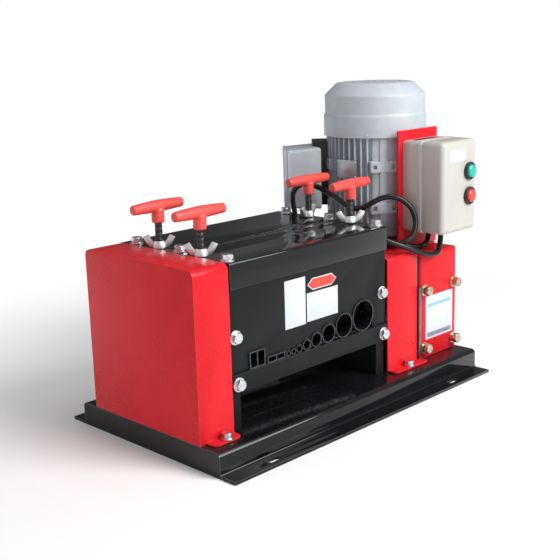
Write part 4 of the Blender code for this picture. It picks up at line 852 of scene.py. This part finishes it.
def makeFront():
    openings = guideOpenings()
    plate = frontBlock("plate")
    for opening in openings:
        mouth = openingOutline(opening, -frontSet["gap"], frontSet["drop"])
        plate = cutAway(plate, prism(mouth, "y", 30, 45))
    finishPiece(softened(plate, 0.3), "frontPlateSheet", "satinBlack", stands=("front_plate",))
    finishPiece(softened(frontBlock("bar"), 0.6), "guideBarSteel", "satinBlack", stands=("guide_bar",))
    finishPiece(softened(frontBlock("rear"), 0.5), "rearPlateSheet", "satinBlack", stands=("rear_plate",))
    front, back, wall, floor = (guideSet[key] for key in ("front", "back", "wall", "floor"))
    # a web joins the tubes behind the plate; its top follows the openings
    outline = [(openings[-1][0] - 2, floor), (openings[0][1] + 2, floor), (openings[0][1] + 2, floor + 46)]
    for left, right, height, isRound in openings:
        outline += [(right - wall, floor + height + 2), (left + wall, floor + height + 2)]
    outline.append((openings[-1][0] - 2, floor + openings[-1][2] + 2))
    guide = prism(outline, "y", back - 8, back - 4)
    for opening in openings:
        guide = joined(guide, prism(openingOutline(opening, 0), "y", front, back))
    for opening in openings:
        guide = cutAway(guide, prism(openingOutline(opening, wall), "y", front - 2, back + 2))
    finishPiece(softened(guide, 0.3), "wireGuideTubes", "blackEnamel", stands=("wire_guide",))


# left, right, low and high of each blank plate on the front; the badge is a plain field with a pale rim
plateSet = {"tall": (151, 189, 140.5, 203.5), "wide": (191.5, 251.5, 142, 180),
            "badge": (193, 249, 183, 198.5), "nose": 0.17, "rim": 1.3, "thick": 0.25, "face": 35.7}


def blankPlate(name, finish, left, right, low, high, face, thick):
    # a thin plate that faces forward and stands proud of the face behind it
    plate = block((left, face - thick, low), (right, face - hair, high))
    finishPiece(softened(plate, 0.08), name, finish)


def makeFrontPlates():
    face, thick = plateSet["face"], plateSet["thick"]
    for name in ("tall", "wide"):
        blankPlate("blankPlate" + name.capitalize(), "whiteVinyl", *plateSet[name], face, thick)
    left, right, low, high = plateSet["badge"]
    middle, nose = (low + high) / 2, (right - left) * plateSet["nose"]
    for name, inset, finish, proud in (("badgeRim", 0, "whiteVinyl", thick),
                                       ("badgeField", plateSet["rim"], "redVinyl", 2 * thick)):
        near, far = left + nose + inset / 2, right - nose - inset / 2
        outline = [(left + inset, middle), (near, low + inset), (far, low + inset), (right - inset, middle),
                   (far, high - inset), (near, high - inset)]
        finishPiece(prism(outline, "y", face - proud, face - hair), name, finish)


# each side plate has a window for the blade's block and one for the press roller's block
sideSet = {"lefts": {"Left": 56.7, "Right": 335.7}, "thick": 16, "front": 39.0, "back": 237.1, "top": 241.1,
           "window": 22.3, "windowTop": 25.3, "shaftBore": 10.4}


def makeSidePlates():
    half, floor = sideSet["window"], bodySet["floor"]
    for side, start in sideSet["lefts"].items():
        end, middle = start + sideSet["thick"], start + sideSet["thick"] / 2
        plate = block((start, sideSet["front"], floor), (end, sideSet["back"], sideSet["top"]))
        for deep, height in zip(rowDepths, (bodySet["blades"], bodySet["press"])):
            window = block((start - 5, deep - half, height - half),
                           (end + 5, deep + half, height + sideSet["windowTop"]))
            screwBore = cylinder(bodySet["screwBore"], "z", (middle, deep), height, 260)
            shaft = (deep, bodySet["rollers"])
            shaftBore = cylinder(sideSet["shaftBore"], "x", shaft, start - 5, end + 5, 40)
            plate = cutAway(plate, window, screwBore, shaftBore)
        finishPiece(softened(plate, 0.6), "sidePlate" + side + "Steel", "satinBlack",
                    stands=("side_plate_" + side.lower(),))


makeBase()
makeCovers()
makeTopCovers()
makeFront()
makeFrontPlates()
makeSidePlates()
print("stage 4: base, covers and front made")

# Rollers and blades

rollerSet = {"left": 74.2, "right": 334.2, "shaft": 10, "steps": 64, "grip": 22, "press": 30,
             "longTail": 20.7, "shortTail": 36.7, "stop": 351.4, "feedStop": 388.8,
             "rings": 44, "ringDepth": 1.1, "ringMargin": 3, "bladeHalf": 1.5, "sleeve": 12.5, "bore": 10.3}


def shaftEnd(end, inward):
    # the shaft's chamfered end, from its pole outwards
    shaft = rollerSet["shaft"]
    return [(0, end), (shaft - 1, end), (shaft, end + inward)]


def makeRollers():
    roller = rollerSet
    start, end, shaft, steps, bore = (roller[key] for key in ("left", "right", "shaft", "steps", "bore"))
    longTail, shortTail, stop = roller["longTail"], roller["shortTail"], roller["stop"]
    frontRow, rearRow, low = bodySet["frontRow"], bodySet["rearRow"], bodySet["rollers"]
    for name, centre, radius, tail, tip in (
            ("feed", (frontRow, low), roller["grip"], longTail, roller["feedStop"]),
            ("draw", (rearRow, low), roller["grip"], shortTail, stop),
            ("press", (rearRow, bodySet["press"]), roller["press"], shortTail, stop)):
        profile = shaftEnd(tail, 1) + [(shaft, start), (radius - 1, start), (radius, start + 1)]
        if name != "press":
            # rings that grip the cable
            pitch = (end - start - 2 * roller["ringMargin"]) / roller["rings"]
            for ring in range(roller["rings"]):
                foot = start + roller["ringMargin"] + ring * pitch
                profile += [(radius, foot + 0.2 * pitch), (radius - roller["ringDepth"], foot + 0.5 * pitch),
                            (radius, foot + 0.8 * pitch)]
        profile += [(radius, end - 1), (radius - 1, end), (shaft, end)] + shaftEnd(tip, -1)[::-1]
        finishPiece(turned(profile, "x", centre, steps), name + "RollerSteel", "turnedSteel", name + "_set",
                    (name + "_roller",))
    centre = (frontRow, bodySet["blades"])
    rod = turned(shaftEnd(longTail, 1) + shaftEnd(stop, -1)[::-1], "x", centre, steps)
    finishPiece(rod, "bladeShaftSteel", "turnedSteel", "blade_set", ("blade_shaft",))
    sleeve, half = roller["sleeve"], roller["bladeHalf"]
    profile = [(bore, start), (sleeve, start)]
    for left, right, height, isRound in reversed(guideOpenings()):
        middle = (left + right) / 2
        # the blade just enters its opening
        blade = max(centre[1] - (guideSet["floor"] + height - guideSet["wall"]) + half, sleeve + half)
        profile += [(sleeve, middle - half), (blade - half, middle - half), (blade, middle - 0.1),
                    (blade, middle + 0.1), (blade - half, middle + half), (sleeve, middle + half)]
    profile += [(sleeve, end), (bore, end)]
    finishPiece(turned(profile, "x", centre, steps), "slittingBlades", "turnedSteel", "blade_set",
                ("cutter_set",))
    # two halves of a coupling meet at a narrow groove
    near = [(bore, 367.1), (17, 367.1), (18, 368.1), (18, 388.4), (17.4, 388.9)]
    far = [(17.4, 389.3), (18, 389.8), (18, 410.1), (17, 411.1), (bore, 411.1)]
    finishPiece(turned(near + far, "x", (frontRow, low), steps), "shaftCouplingSteel", "turnedSteel",
                "feed_set", ("shaft_coupling",))


# Adjusters

adjusterSet = {"barHeight": 54, "barHalf": 42, "barEnd": 6.3, "barMiddle": 7.8, "barFlat": 0.94, "droop": 0.4,
               "neck": 7.4, "neckDrop": 21, "melt": 0.8, "thread": 4.95, "pitch": 1.5, "ridge": 0.62,
               "nutGap": 0.3, "nutBore": 5.3, "wingHalf": 1.7}
# column, row, turn of the handle, turn of the wing nut and foot of the screw
adjusterPlaces = {"frontLeft": (0, 0, 3, -42, 174.5), "rearLeft": (0, 1, 4, -50, 152),
                  "frontRight": (1, 0, 4, -38, 174.5), "rearRight": (1, 1, 0, 12, 152)}


def handleShape(x, y):
    adjuster = adjusterSet
    half, end, neck = adjuster["barHalf"], adjuster["barEnd"], adjuster["neck"]
    middle, swell = bodySet["top"] + adjuster["barHeight"], adjuster["barMiddle"] - end
    cap = [(0, 0), (0.7 * end, 0), (0.9 * end, 0.4), (0.98 * end, 1.2)]      # flat ends with a soft rim
    profile = [(radius, x - half + deep) for radius, deep in cap]
    for step in range(13):
        share = step / 6 - 1
        profile.append((end + swell * (1 - abs(share) ** 1.4), x + share * (half - 2.4)))
    profile += [(radius, x + half - deep) for radius, deep in reversed(cap)]
    bar = turned(profile, "x", (y, middle), 40)
    for vert in bar.data.vertices:      # the bar is slimmer front to back and its ends droop a little
        vert.co.y = y + (vert.co.y - y) * adjuster["barFlat"]
        vert.co.z -= adjuster["droop"] * ((vert.co.x - x) / half) ** 2
    low = middle - adjuster["neckDrop"]
    stem = turned([(0, low), (neck + 0.1, low), (neck + 0.9, low + 0.9), (neck + 0.9, low + 9),
                   (neck + 0.7, middle - 8), (neck + 1.2, middle - 5), (neck - 1, middle), (0, middle)],
                  "z", (x, y), 40)
    shape = joined(bar, stem)
    # bar and neck melt into one moulding
    remesh = shape.modifiers.new("melt", "REMESH")
    remesh.mode = "VOXEL"
    remesh.voxel_size = adjuster["melt"]
    baked(shape)
    smooth = shape.modifiers.new("smooth", "SMOOTH")
    smooth.factor = 0.5
    smooth.iterations = 5
    baked(shape)
    return cutAway(shape, cylinder(bodySet["screwBore"], "z", (x, y), low - 5, middle - 7))


def wingNutShape(x, y):
    seat, half = bodySet["top"] + adjusterSet["nutGap"], adjusterSet["wingHalf"]
    shape = turned([(0, seat), (8.2, seat), (8.5, seat + 0.4), (8.3, seat + 3), (6.6, seat + 8.6),
                    (6.2, seat + 9), (0, seat + 9)], "z", (x, y), 40)
    # a flat wing that rises outwards and bends upright at its tip
    inner = [(3, 6.0), (7, 7.4), (9.8, 10.6), (13.2, 16.4)]
    outer = [(14.4, 16.9), (20.2, 14.2), (20.5, 12.8), (16.2, 5.6), (12.4, 1.6), (8.8, 0.4), (3, 0.3)]
    for side in (-1, 1):
        outline = [(x + side * across, seat + up) for across, up in inner + outer]
        shape = joined(shape, softened(prism(outline, "y", y - half, y + half), 0.6))
    return cutAway(shape, cylinder(adjusterSet["nutBore"], "z", (x, y), seat - 4, seat + 20))


def makeAdjusters():
    adjuster = adjusterSet
    for name, (column, row, turn, nutTurn, low) in adjusterPlaces.items():
        x, y, top = bodySet["columns"][column], rowDepths[row], bodySet["top"]
        node = ("front", "rear")[row] + ("_left", "_right")[column]
        body = node + "_adjuster"
        handle = turnedAbout(handleShape(x, y), (x, y, top), turn)
        finishPiece(handle, name + "Handle", "redNylon", body, (node + "_handle",), 50)
        rod = grow(threadTree, [((x, y, low), (0, 0, 1))],
                   {"Radius": adjuster["thread"], "Pitch": adjuster["pitch"], "Ridge": adjuster["ridge"],
                    "Length": top + adjuster["barHeight"] - adjuster["barMiddle"] - low,
                    "Material": finishes["blackOxide"]})
        finishPiece(rod, name + "Screw", "blackOxide", body, (node + "_screw",))
        nut = turnedAbout(wingNutShape(x, y), (x, y, top), nutTurn)
        finishPiece(nut, name + "WingNut", "castZinc", node + "_lock", (node + "_wing_nut",))


makeRollers()
makeAdjusters()
print("stage 5: rollers, blades and adjusters made")

# Stand, motor and boxes

standSet = {"low": (432.1, 34, 31.3), "high": (522.1, 232, 189), "corner": 4.5, "sheet": 3, "insideCorner": 2,
            "shaftHole": 15, "motorHole": 18,
            "boltX": (441.1, 513.1), "boltHeights": (47, 135), "boltSeat": 27.7, "plate": (445, 512, 58, 124),
            "bands": {"Upper": (107, 112, "blueVinyl"), "Lower": (61, 67.5, "violetVinyl")}}


def makeStand():
    stand = standSet
    low, high, sheet = stand["low"], stand["high"], stand["sheet"]
    shell = roundedBox(low, high, stand["corner"], ("-z",))
    # the stand is open below, and the feed roller's shaft and the motor's shaft enter by two holes
    hollow = roundedBox((low[0] + sheet, low[1] + sheet, 28), [value - sheet for value in high],
                        stand["insideCorner"], ("-z",), 3)
    shaftHole = cylinder(stand["shaftHole"], "x", (bodySet["frontRow"], bodySet["rollers"]), 428, 440, 40)
    motorHole = cylinder(stand["motorHole"], "z", bodySet["motor"], 180, 195, 40)
    finishPiece(softened(cutAway(shell, hollow, shaftHole, motorHole), 0.4), "gearStandSheet", "redEnamel",
                stands=("gearbox_stand",))
    bolts = [((across, stand["boltSeat"], height), (0, -1, 0))
             for across in stand["boltX"] for height in stand["boltHeights"]]
    names = ["stand_bolt_" + side + level for side in ("left", "right") for level in ("_low", "_high")]
    # the head, the shank and a wide washer against the stand
    head = merged([boltHead(13, 5.2), turned([(0, -6), (6.6, -6), (6.6, 0), (0, 0)], steps=32),
                   turned([(0, -6.2), (8.4, -6.2), (8.4, -4.9), (0, -4.9)], steps=32)])
    standOn(bolts, head, "standFrontBolts", "yellowZinc", stands=names, seed=8)
    # a blank plate with plain bands
    left, right, bottom, top = stand["plate"]
    face = low[1]
    blankPlate("standPlate", "whiteVinyl", left, right, bottom, top, face, 0.3)
    for name, (bottom, top, finish) in stand["bands"].items():
        band = block((left + 4, face - 0.5, bottom), (right - 4, face - 0.28, top))
        finishPiece(band, "standPlate" + name + "Band", finish)


motorSet = {"foot": 204.6, "top": 361.6, "root": 66, "fin": 74, "fins": 48, "rim": 14, "bore": 9.4,
            "pads": (233, 323), "padAngle": 18.5, "panelHalf": 17,
            "lugs": ((233, -19), (233, 9), (323, -19), (323, 9), (152, 0)), "lugHeights": (250.2, 311.4)}


def makeMotor():
    motor, centre = motorSet, bodySet["motor"]
    (x, y), foot, top = centre, motor["foot"], motor["top"]
    root, rim, bore = motor["root"], motor["rim"], motor["bore"]
    flange = turned([(bore, 189.3), (57, 189.3), (58, 190.3), (58, 198.5), (57, 199.6), (52, 201),
                     (50, 204.3), (bore, 204.3)], "z", centre, 72)
    finishPiece(flange, "motorFlangeCasting", "greyMachinePaint", stands=("motor_flange",))
    core = turned([(bore, foot), (67, foot), (70, foot + 2), (70, foot + rim - 2), (69, foot + rim),
                   (root, foot + rim + 1), (root, top - 6), (74.6, top - 4), (75.6, top - 3), (75.6, top),
                   (bore, top)], "z", centre, 96)
    for pad in motor["pads"]:
        # a plain panel between the fins, with a low band between its lugs
        near, far = pad - motor["panelHalf"], pad + motor["panelHalf"]
        outline = arc(centre, 60, far, near, 8) + arc(centre, 71, near, far, 8)
        core = joined(core, prism(outline, "z", foot + rim - 1, top - 5))
        band = softened(block((x + 60, y - 10.5, foot + rim - 1), (x + 72.6, y + 0.5, top - 5)), 0.6)
        core = joined(core, turnedAbout(band, (x, y, foot), pad))
        for height in motor["lugHeights"]:
            web = softened(block((x + 58, y - 19, height - 8), (x + 74.6, y + 9, height + 8)), 0.8)
            core = joined(core, turnedAbout(web, (x, y, height), pad))
    for pad, side in motor["lugs"]:
        for height in motor["lugHeights"]:
            across, place = y + side, (x, y, height)
            lug = block((x + 58, across - 6.6, height - 8.5), (x + 77, across + 6.6, height + 8.5))
            hole = block((x + 71, across - 3, height - 3.2), (x + 80, across + 3, height + 3.2))
            core = joined(core, turnedAbout(softened(lug, 1.4, 3), place, pad))
            core = cutAway(core, turnedAbout(softened(hole, 0.8), place, pad))
    finishPiece(softened(core, 0.5, 2, 40), "motorHousing", "greyMachinePaint", stands=("motor_body",))
    tip = motor["fin"]
    section = [(root - 1, -1.5), (tip - 0.5, -1.0), (tip, -0.5), (tip, 0.5), (tip - 0.5, 1.0),
               (root - 1, 1.5)]
    fin = prism(section, "z", 0, top - 5 - foot - rim)
    first, second = (math.radians(pad) for pad in motor["pads"])
    fins = grow(finTree, [((x, y, foot + rim), (0, 0, 1))],
                {"Fin": fin, "Fins": motor["fins"], "First Pad": first, "Second Pad": second,
                 "Pad Angle": math.radians(motor["padAngle"]), "Material": finishes["greyMachinePaint"]})
    bpy.data.objects.remove(fin)
    finishPiece(fins, "motorFins", "greyMachinePaint")


blankSet = {"low": 294, "high": 321, "angle": 183.6, "half": 14.3, "gap": 0.5, "thick": 0.8}


def makeMotorPlate():
    # a blank curved plate riveted over the fins
    blank, centre, radius = blankSet, bodySet["motor"], motorSet["fin"] + blankSet["gap"]
    near, far = blank["angle"] - blank["half"], blank["angle"] + blank["half"]
    low, high = blank["low"], blank["high"]
    outline = arc(centre, radius, near, far, 12) + arc(centre, radius + blank["thick"], far, near, 12)
    finishPiece(softened(prism(outline, "z", low, high), 0.2), "motorBlankPlate", "plainAluminium")
    spots = []
    for way in (wayAt(near + 1.8), wayAt(far - 1.8)):
        for height in (low + 2.4, high - 2.4):
            spots.append((Vector((*centre, height)) + way * (radius + 0.7), way))
    rivet = turned([(0, -0.5), (1.3, -0.5), (1.3, 0.2), (0.8, 0.7), (0, 0.8)], steps=16)
    standOn(spots, rivet, "motorPlateRivets", "brightZinc")


# each ring of holes is its radius and its count
fanSet = {"radius": 77.5, "low": 353.6, "top": 431.6, "step": 31, "sheet": 1.5, "hole": 2.9,
          "rings": ((9, 5), (18, 10), (27, 15), (36, 20), (45, 25)),
          "screwAngles": (210, 300, 30, 120), "screwHeight": 4.2, "screwSize": 0.75}


def makeFanCover():
    centre = bodySet["motor"]
    skirt, low, top, sheet = (fanSet[key] for key in ("radius", "low", "top", "sheet"))
    step = low + fanSet["step"]
    # a rolled shoulder between the skirt and the slimmer crown
    outside = [(skirt - 0.3, low), (skirt, low + 0.4), (skirt, step - 2.4), (skirt - 0.2, step - 0.6),
               (skirt - 0.8, step + 1.0), (skirt - 1.7, step + 2.2), (skirt - 1.9, step + 3.6),
               (skirt - 1.9, top - 20)]
    outside += arc((skirt - 6.9, top - 20), 5, 0, 42, 5)
    outside += [(skirt - 17.6, top - 2.6), (skirt - 20.5, top - 0.8), (skirt - 24, top)]
    inside = [(radius - sheet, height - (sheet if height > top - 12 else 0))
              for radius, height in reversed(outside)]
    cover = turned(outside + [(0, top), (0, top - sheet)] + inside, "z", centre, 96)
    points = [((*place, top - 1), (0, 0, 1)) for radius, count in fanSet["rings"]
              for place in arc(centre, radius, 0, 360, count)[:-1]]
    pierced = grow(holeTree, points, {"Body": cover, "Hole Radius": fanSet["hole"], "Depth": 8.0,
                                      "Material": finishes["greyMachinePaint"]})
    bpy.data.objects.remove(cover)
    finishPiece(pierced, "fanCoverShell", "greyMachinePaint", stands=("fan_cover",))
    screws = [(Vector((*centre, low + fanSet["screwHeight"])) + way * (skirt - 0.4), way)
              for way in map(wayAt, fanSet["screwAngles"])]
    head = turned([(0, -1), (3.3, -1), (3.3, 0.0), (2.9, 0.9), (1.6, 1.5), (0, 1.6)], steps=24)
    head = cutAway(head, block((-0.5, -2.4, 0.7), (0.5, 2.4, 3)), block((-2.4, -0.5, 0.7), (2.4, 0.5, 3)))
    standOn(screws, head, "fanCoverScrews", "brightZinc", size=fanSet["screwSize"])


# near, far and back are measured from the motor's axis, and the box is turned about it
terminalSet = {"near": 58, "far": 136, "back": 94, "low": 244.6, "high": 340.6, "half": 40, "turn": 135,
               "lid": 5, "lidGap": 0.3, "shadeBlock": (60, 96, -36, 12, 345), "finClear": 75,
               "glandOut": 110, "glands": {"Front": 24, "Rear": -4}, "screwOut": 140.0, "screwSide": 34}


def makeTerminalBox():
    box, (x, y) = terminalSet, bodySet["motor"]
    near, far, low, high, half = x + box["near"], x + box["far"], box["low"], box["high"], box["half"]

    def scooped(thing, radius):
        # the side towards the motor follows its round form
        return cutAway(thing, cylinder(radius, "z", (x, y), low - 20, high + 20, 96))

    def stood(thing):
        return turnedAbout(thing, (x, y, low), box["turn"])

    outline = [(near, low), (far, low + 3), (far, high - 6), (near, high)]
    case = softened(prism(outline, "y", y - half, y + half), 5, 5)
    rim = softened(block((far - 6, y - half, low + 3.0), (far, y + half, high - 6.0)), 1.2, 3)
    case = scooped(joined(case, rim), box["back"])
    # a dull black block between the fins and the box paints the shade in the gap there, drawn like a gasket
    inner, outer, front, back, top = box["shadeBlock"]
    shadeBlock = softened(block((x + inner, y + front, low + 3), (x + outer, y + back, top)), 2, 3)
    shadeBlock = scooped(shadeBlock, box["finClear"])
    for name, side in box["glands"].items():
        neck = turned([(0, low + 8), (8, low + 8), (8, low - 3), (7.4, low - 3.5), (7.4, low - 4),
                       (8, low - 4.5), (7.6, low - 8), (6, low - 10), (4.3, low - 10), (4.3, low - 6),
                       (0, low - 6)], "z", (x + box["glandOut"], y + side), 32)
        finishPiece(stood(neck), "terminalGland" + name, "blackNylon")
    finishPiece(stood(shadeBlock), "terminalGasket", "blackNylon")
    finishPiece(stood(case), "terminalBoxCasting", "greyMachinePaint", stands=("terminal_box",))
    start = far + box["lidGap"]
    lid = roundedBox((start, y - half, low + 3), (start + box["lid"], y + half, high - 6), 1.6, ("-x",), 4)
    finishPiece(stood(lid), "terminalBoxLid", "greyMachinePaint", stands=("terminal_lid",))
    way = wayAt(box["turn"])
    aside = Vector((-way.y, way.x, 0))
    spots = [(Vector((x, y, height)) + way * box["screwOut"] + aside * side, way)
             for side in (-box["screwSide"], box["screwSide"]) for height in (low + 10, high - 13)]
    head = turned([(0, -1), (3.2, -1), (3.2, 0.4), (2.6, 1.0), (0, 1.2)], steps=24)
    head = cutAway(head, block((-0.5, -4, 0.4), (0.5, 4, 3)))
    standOn(spots, head, "terminalLidScrews", "brightZinc")


# the plate has an upright sheet and a foot on the stand; blank is left, right, low and high
switchSet = {"sheet": ((438.1, 78.9, 189.3), (531.1, 81.9, 364.3)),
             "foot": ((438.1, 67.9, 189.3), (513.1, 79.2, 192.3)),
             "left": 447.1, "right": 531.1, "front": 7.6, "back": 78.6, "low": 217.3, "high": 350.3,
             "split": 43.6, "gap": 0.3, "corner": 7, "bead": (1.2, 10),
             "blank": (464, 502, 320.5, 337.5), "strip": ((458, 62), (512, 71)),
             "glandX": 488.1, "glands": {"Front": 39.4, "Rear": 61.0},
             "buttonX": 512.1, "buttonHole": 9.9, "buttons": {"start": (304.3, "tealPolycarbonate"),
                                                              "stop": (268.3, "redPolycarbonate")}}


def makeSwitch():
    switch = switchSet
    plate = joined(block(*switch["sheet"]), block(*switch["foot"]))
    finishPiece(softened(plate, 0.5), "switchPlateSheet", "redEnamel", stands=("switch_plate",))
    left, right, low, high = (switch[key] for key in ("left", "right", "low", "high"))
    split, corner, ends = switch["split"], switch["corner"], ("-y", "+y")
    case = roundedBox((left, split + switch["gap"], low), (right, switch["back"], high), corner, ends, 8)
    # a proud band runs around the case beside the lid
    start, stop = switch["bead"]
    bead = roundedBox((left - 1, split + start, low - 1), (right + 1, split + stop, high + 1),
                      corner + 1, ends, 8)
    case = joined(softened(case, 0.5), softened(bead, 0.9, 3))
    finishPiece(case, "switchBoxCase", "creamAbs", stands=("switch_box",))
    for name, y in switch["glands"].items():
        neck = turned([(0, low + 1), (8, low + 1), (8, low - 1.6), (7.5, low - 2), (7.8, low - 4),
                       (6, low - 5.5), (4.3, low - 5.5), (4.3, low - 3), (0, low - 3)],
                      "z", (switch["glandX"], y), 32)
        finishPiece(neck, "switchGland" + name, "blackNylon")
    lid = roundedBox((left, switch["front"], low), (right, split, high), corner, ("+y",), 8)
    for height, finish in switch["buttons"].values():
        lid = cutAway(lid, cylinder(switch["buttonHole"], "y", (switch["buttonX"], height), 0, 14, 48))
    finishPiece(softened(lid, 0.5, 2, 40), "switchBoxLid", "creamAbs", stands=("switch_lid",))
    ring = [(9.8, 13), (9.8, 3.9), (10.3, 3.5), (12.4, 3.5), (12.9, 4.1), (12.9, 7.5), (12.2, 7.7),
            (12.2, 13)]
    cap = [(0, -0.9), (5.0, -0.8), (7.6, -0.3), (8.9, 0.7), (9.4, 2.2), (9.5, 10.9), (11.8, 10.9),
           (11.8, 13.3), (0, 13.3)]
    for name, (height, finish) in switch["buttons"].items():
        centre = (switch["buttonX"], height)
        finishPiece(turned(ring, "y", centre), name + "Collar", "blackNylon")
        finishPiece(turned(cap, "y", centre), name + "Cap", finish, name, (name + "_button",))
    blankPlate("switchFrontBlank", "whiteVinyl", *switch["blank"], switch["front"], 0.25)
    # a dark strip lies on top of the box, towards its back
    near, far = switch["strip"]
    strip = softened(block((*near, high - 0.3), (*far, high + 0.3)), 0.1)
    finishPiece(strip, "switchTopBlank", "satinBlack")


boltSet = {"acrossFlats": 13, "lidDepths": (44.5, 131, 217.5), "lidSeat": 244.45,
           "feet": ((35, 24.5), (35, 251.5), (394, 24.5)), "footSeat": 33.9, "footSize": 0.9,
           "front": ((151, 35.6), (92, 32.6)), "rearHeights": (225, 165), "rearSeat": 240.45,
           "flangeAngles": (45, 315), "flangeRadius": 52.92, "flangeSeat": 200.6}


def makeFasteners():
    # M8 hexagon heads on the lids, the feet, the front and the back, and M5 heads on the motor's flange
    bolt, columns = boltSet, bodySet["columns"]
    tall = boltHead(bolt["acrossFlats"], 5.3, 1.6, 1.6)
    lids = [((across, deep, bolt["lidSeat"]), (0, 0, 1)) for across in columns for deep in bolt["lidDepths"]]
    standOn(lids, tall, "topCoverBolts", "brightZinc", seed=5, remove=False)
    feet = [((*place, bolt["footSeat"]), (0, 0, 1)) for place in bolt["feet"]]
    standOn(feet, tall, "footBolts", "brightZinc", seed=2, size=bolt["footSize"])
    flat = boltHead(bolt["acrossFlats"], 5.0, 1.4)
    front = [((across, deep, height), (0, -1, 0)) for across in columns for height, deep in bolt["front"]]
    standOn(front, flat, "frontBolts", "brightZinc", seed=4, remove=False)
    rear = [((across, bolt["rearSeat"], height), (0, 1, 0))
            for across in columns for height in bolt["rearHeights"]]
    standOn(rear, flat, "rearBolts", "brightZinc", seed=6)
    spots = [((*place, bolt["flangeSeat"]), (0, 0, 1))
             for place in arc(bodySet["motor"], bolt["flangeRadius"], *bolt["flangeAngles"], 3)]
    standOn(spots, boltHead(8, 3.0), "motorFlangeBolts", "brightZinc", seed=9)


makeStand()
makeMotor()
makeMotorPlate()
makeFanCover()
makeTerminalBox()
makeSwitch()
makeFasteners()
print("stage 6: stand, motor and boxes made")

# CAD pieces that stay as they are

keptNodes = {"milledSteel": ("feed_gear", "blade_gear", "idler_gear", "draw_gear", "press_gear", "worm_wheel",
                             "front_block_left", "front_block_right", "rear_block_left", "rear_block_right"),
             "turnedSteel": ("idler_pin", "motor_shaft"), "greyMachinePaint": ("gearbox_case",),
             "blackNylon": ("cooling_fan",)}
for finish, nodes in keptNodes.items():
    for node in nodes:
        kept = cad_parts[node]
        kept.data.materials.clear()
        kept.data.materials.append(finishes[finish])

print("stage 7: all pieces placed")
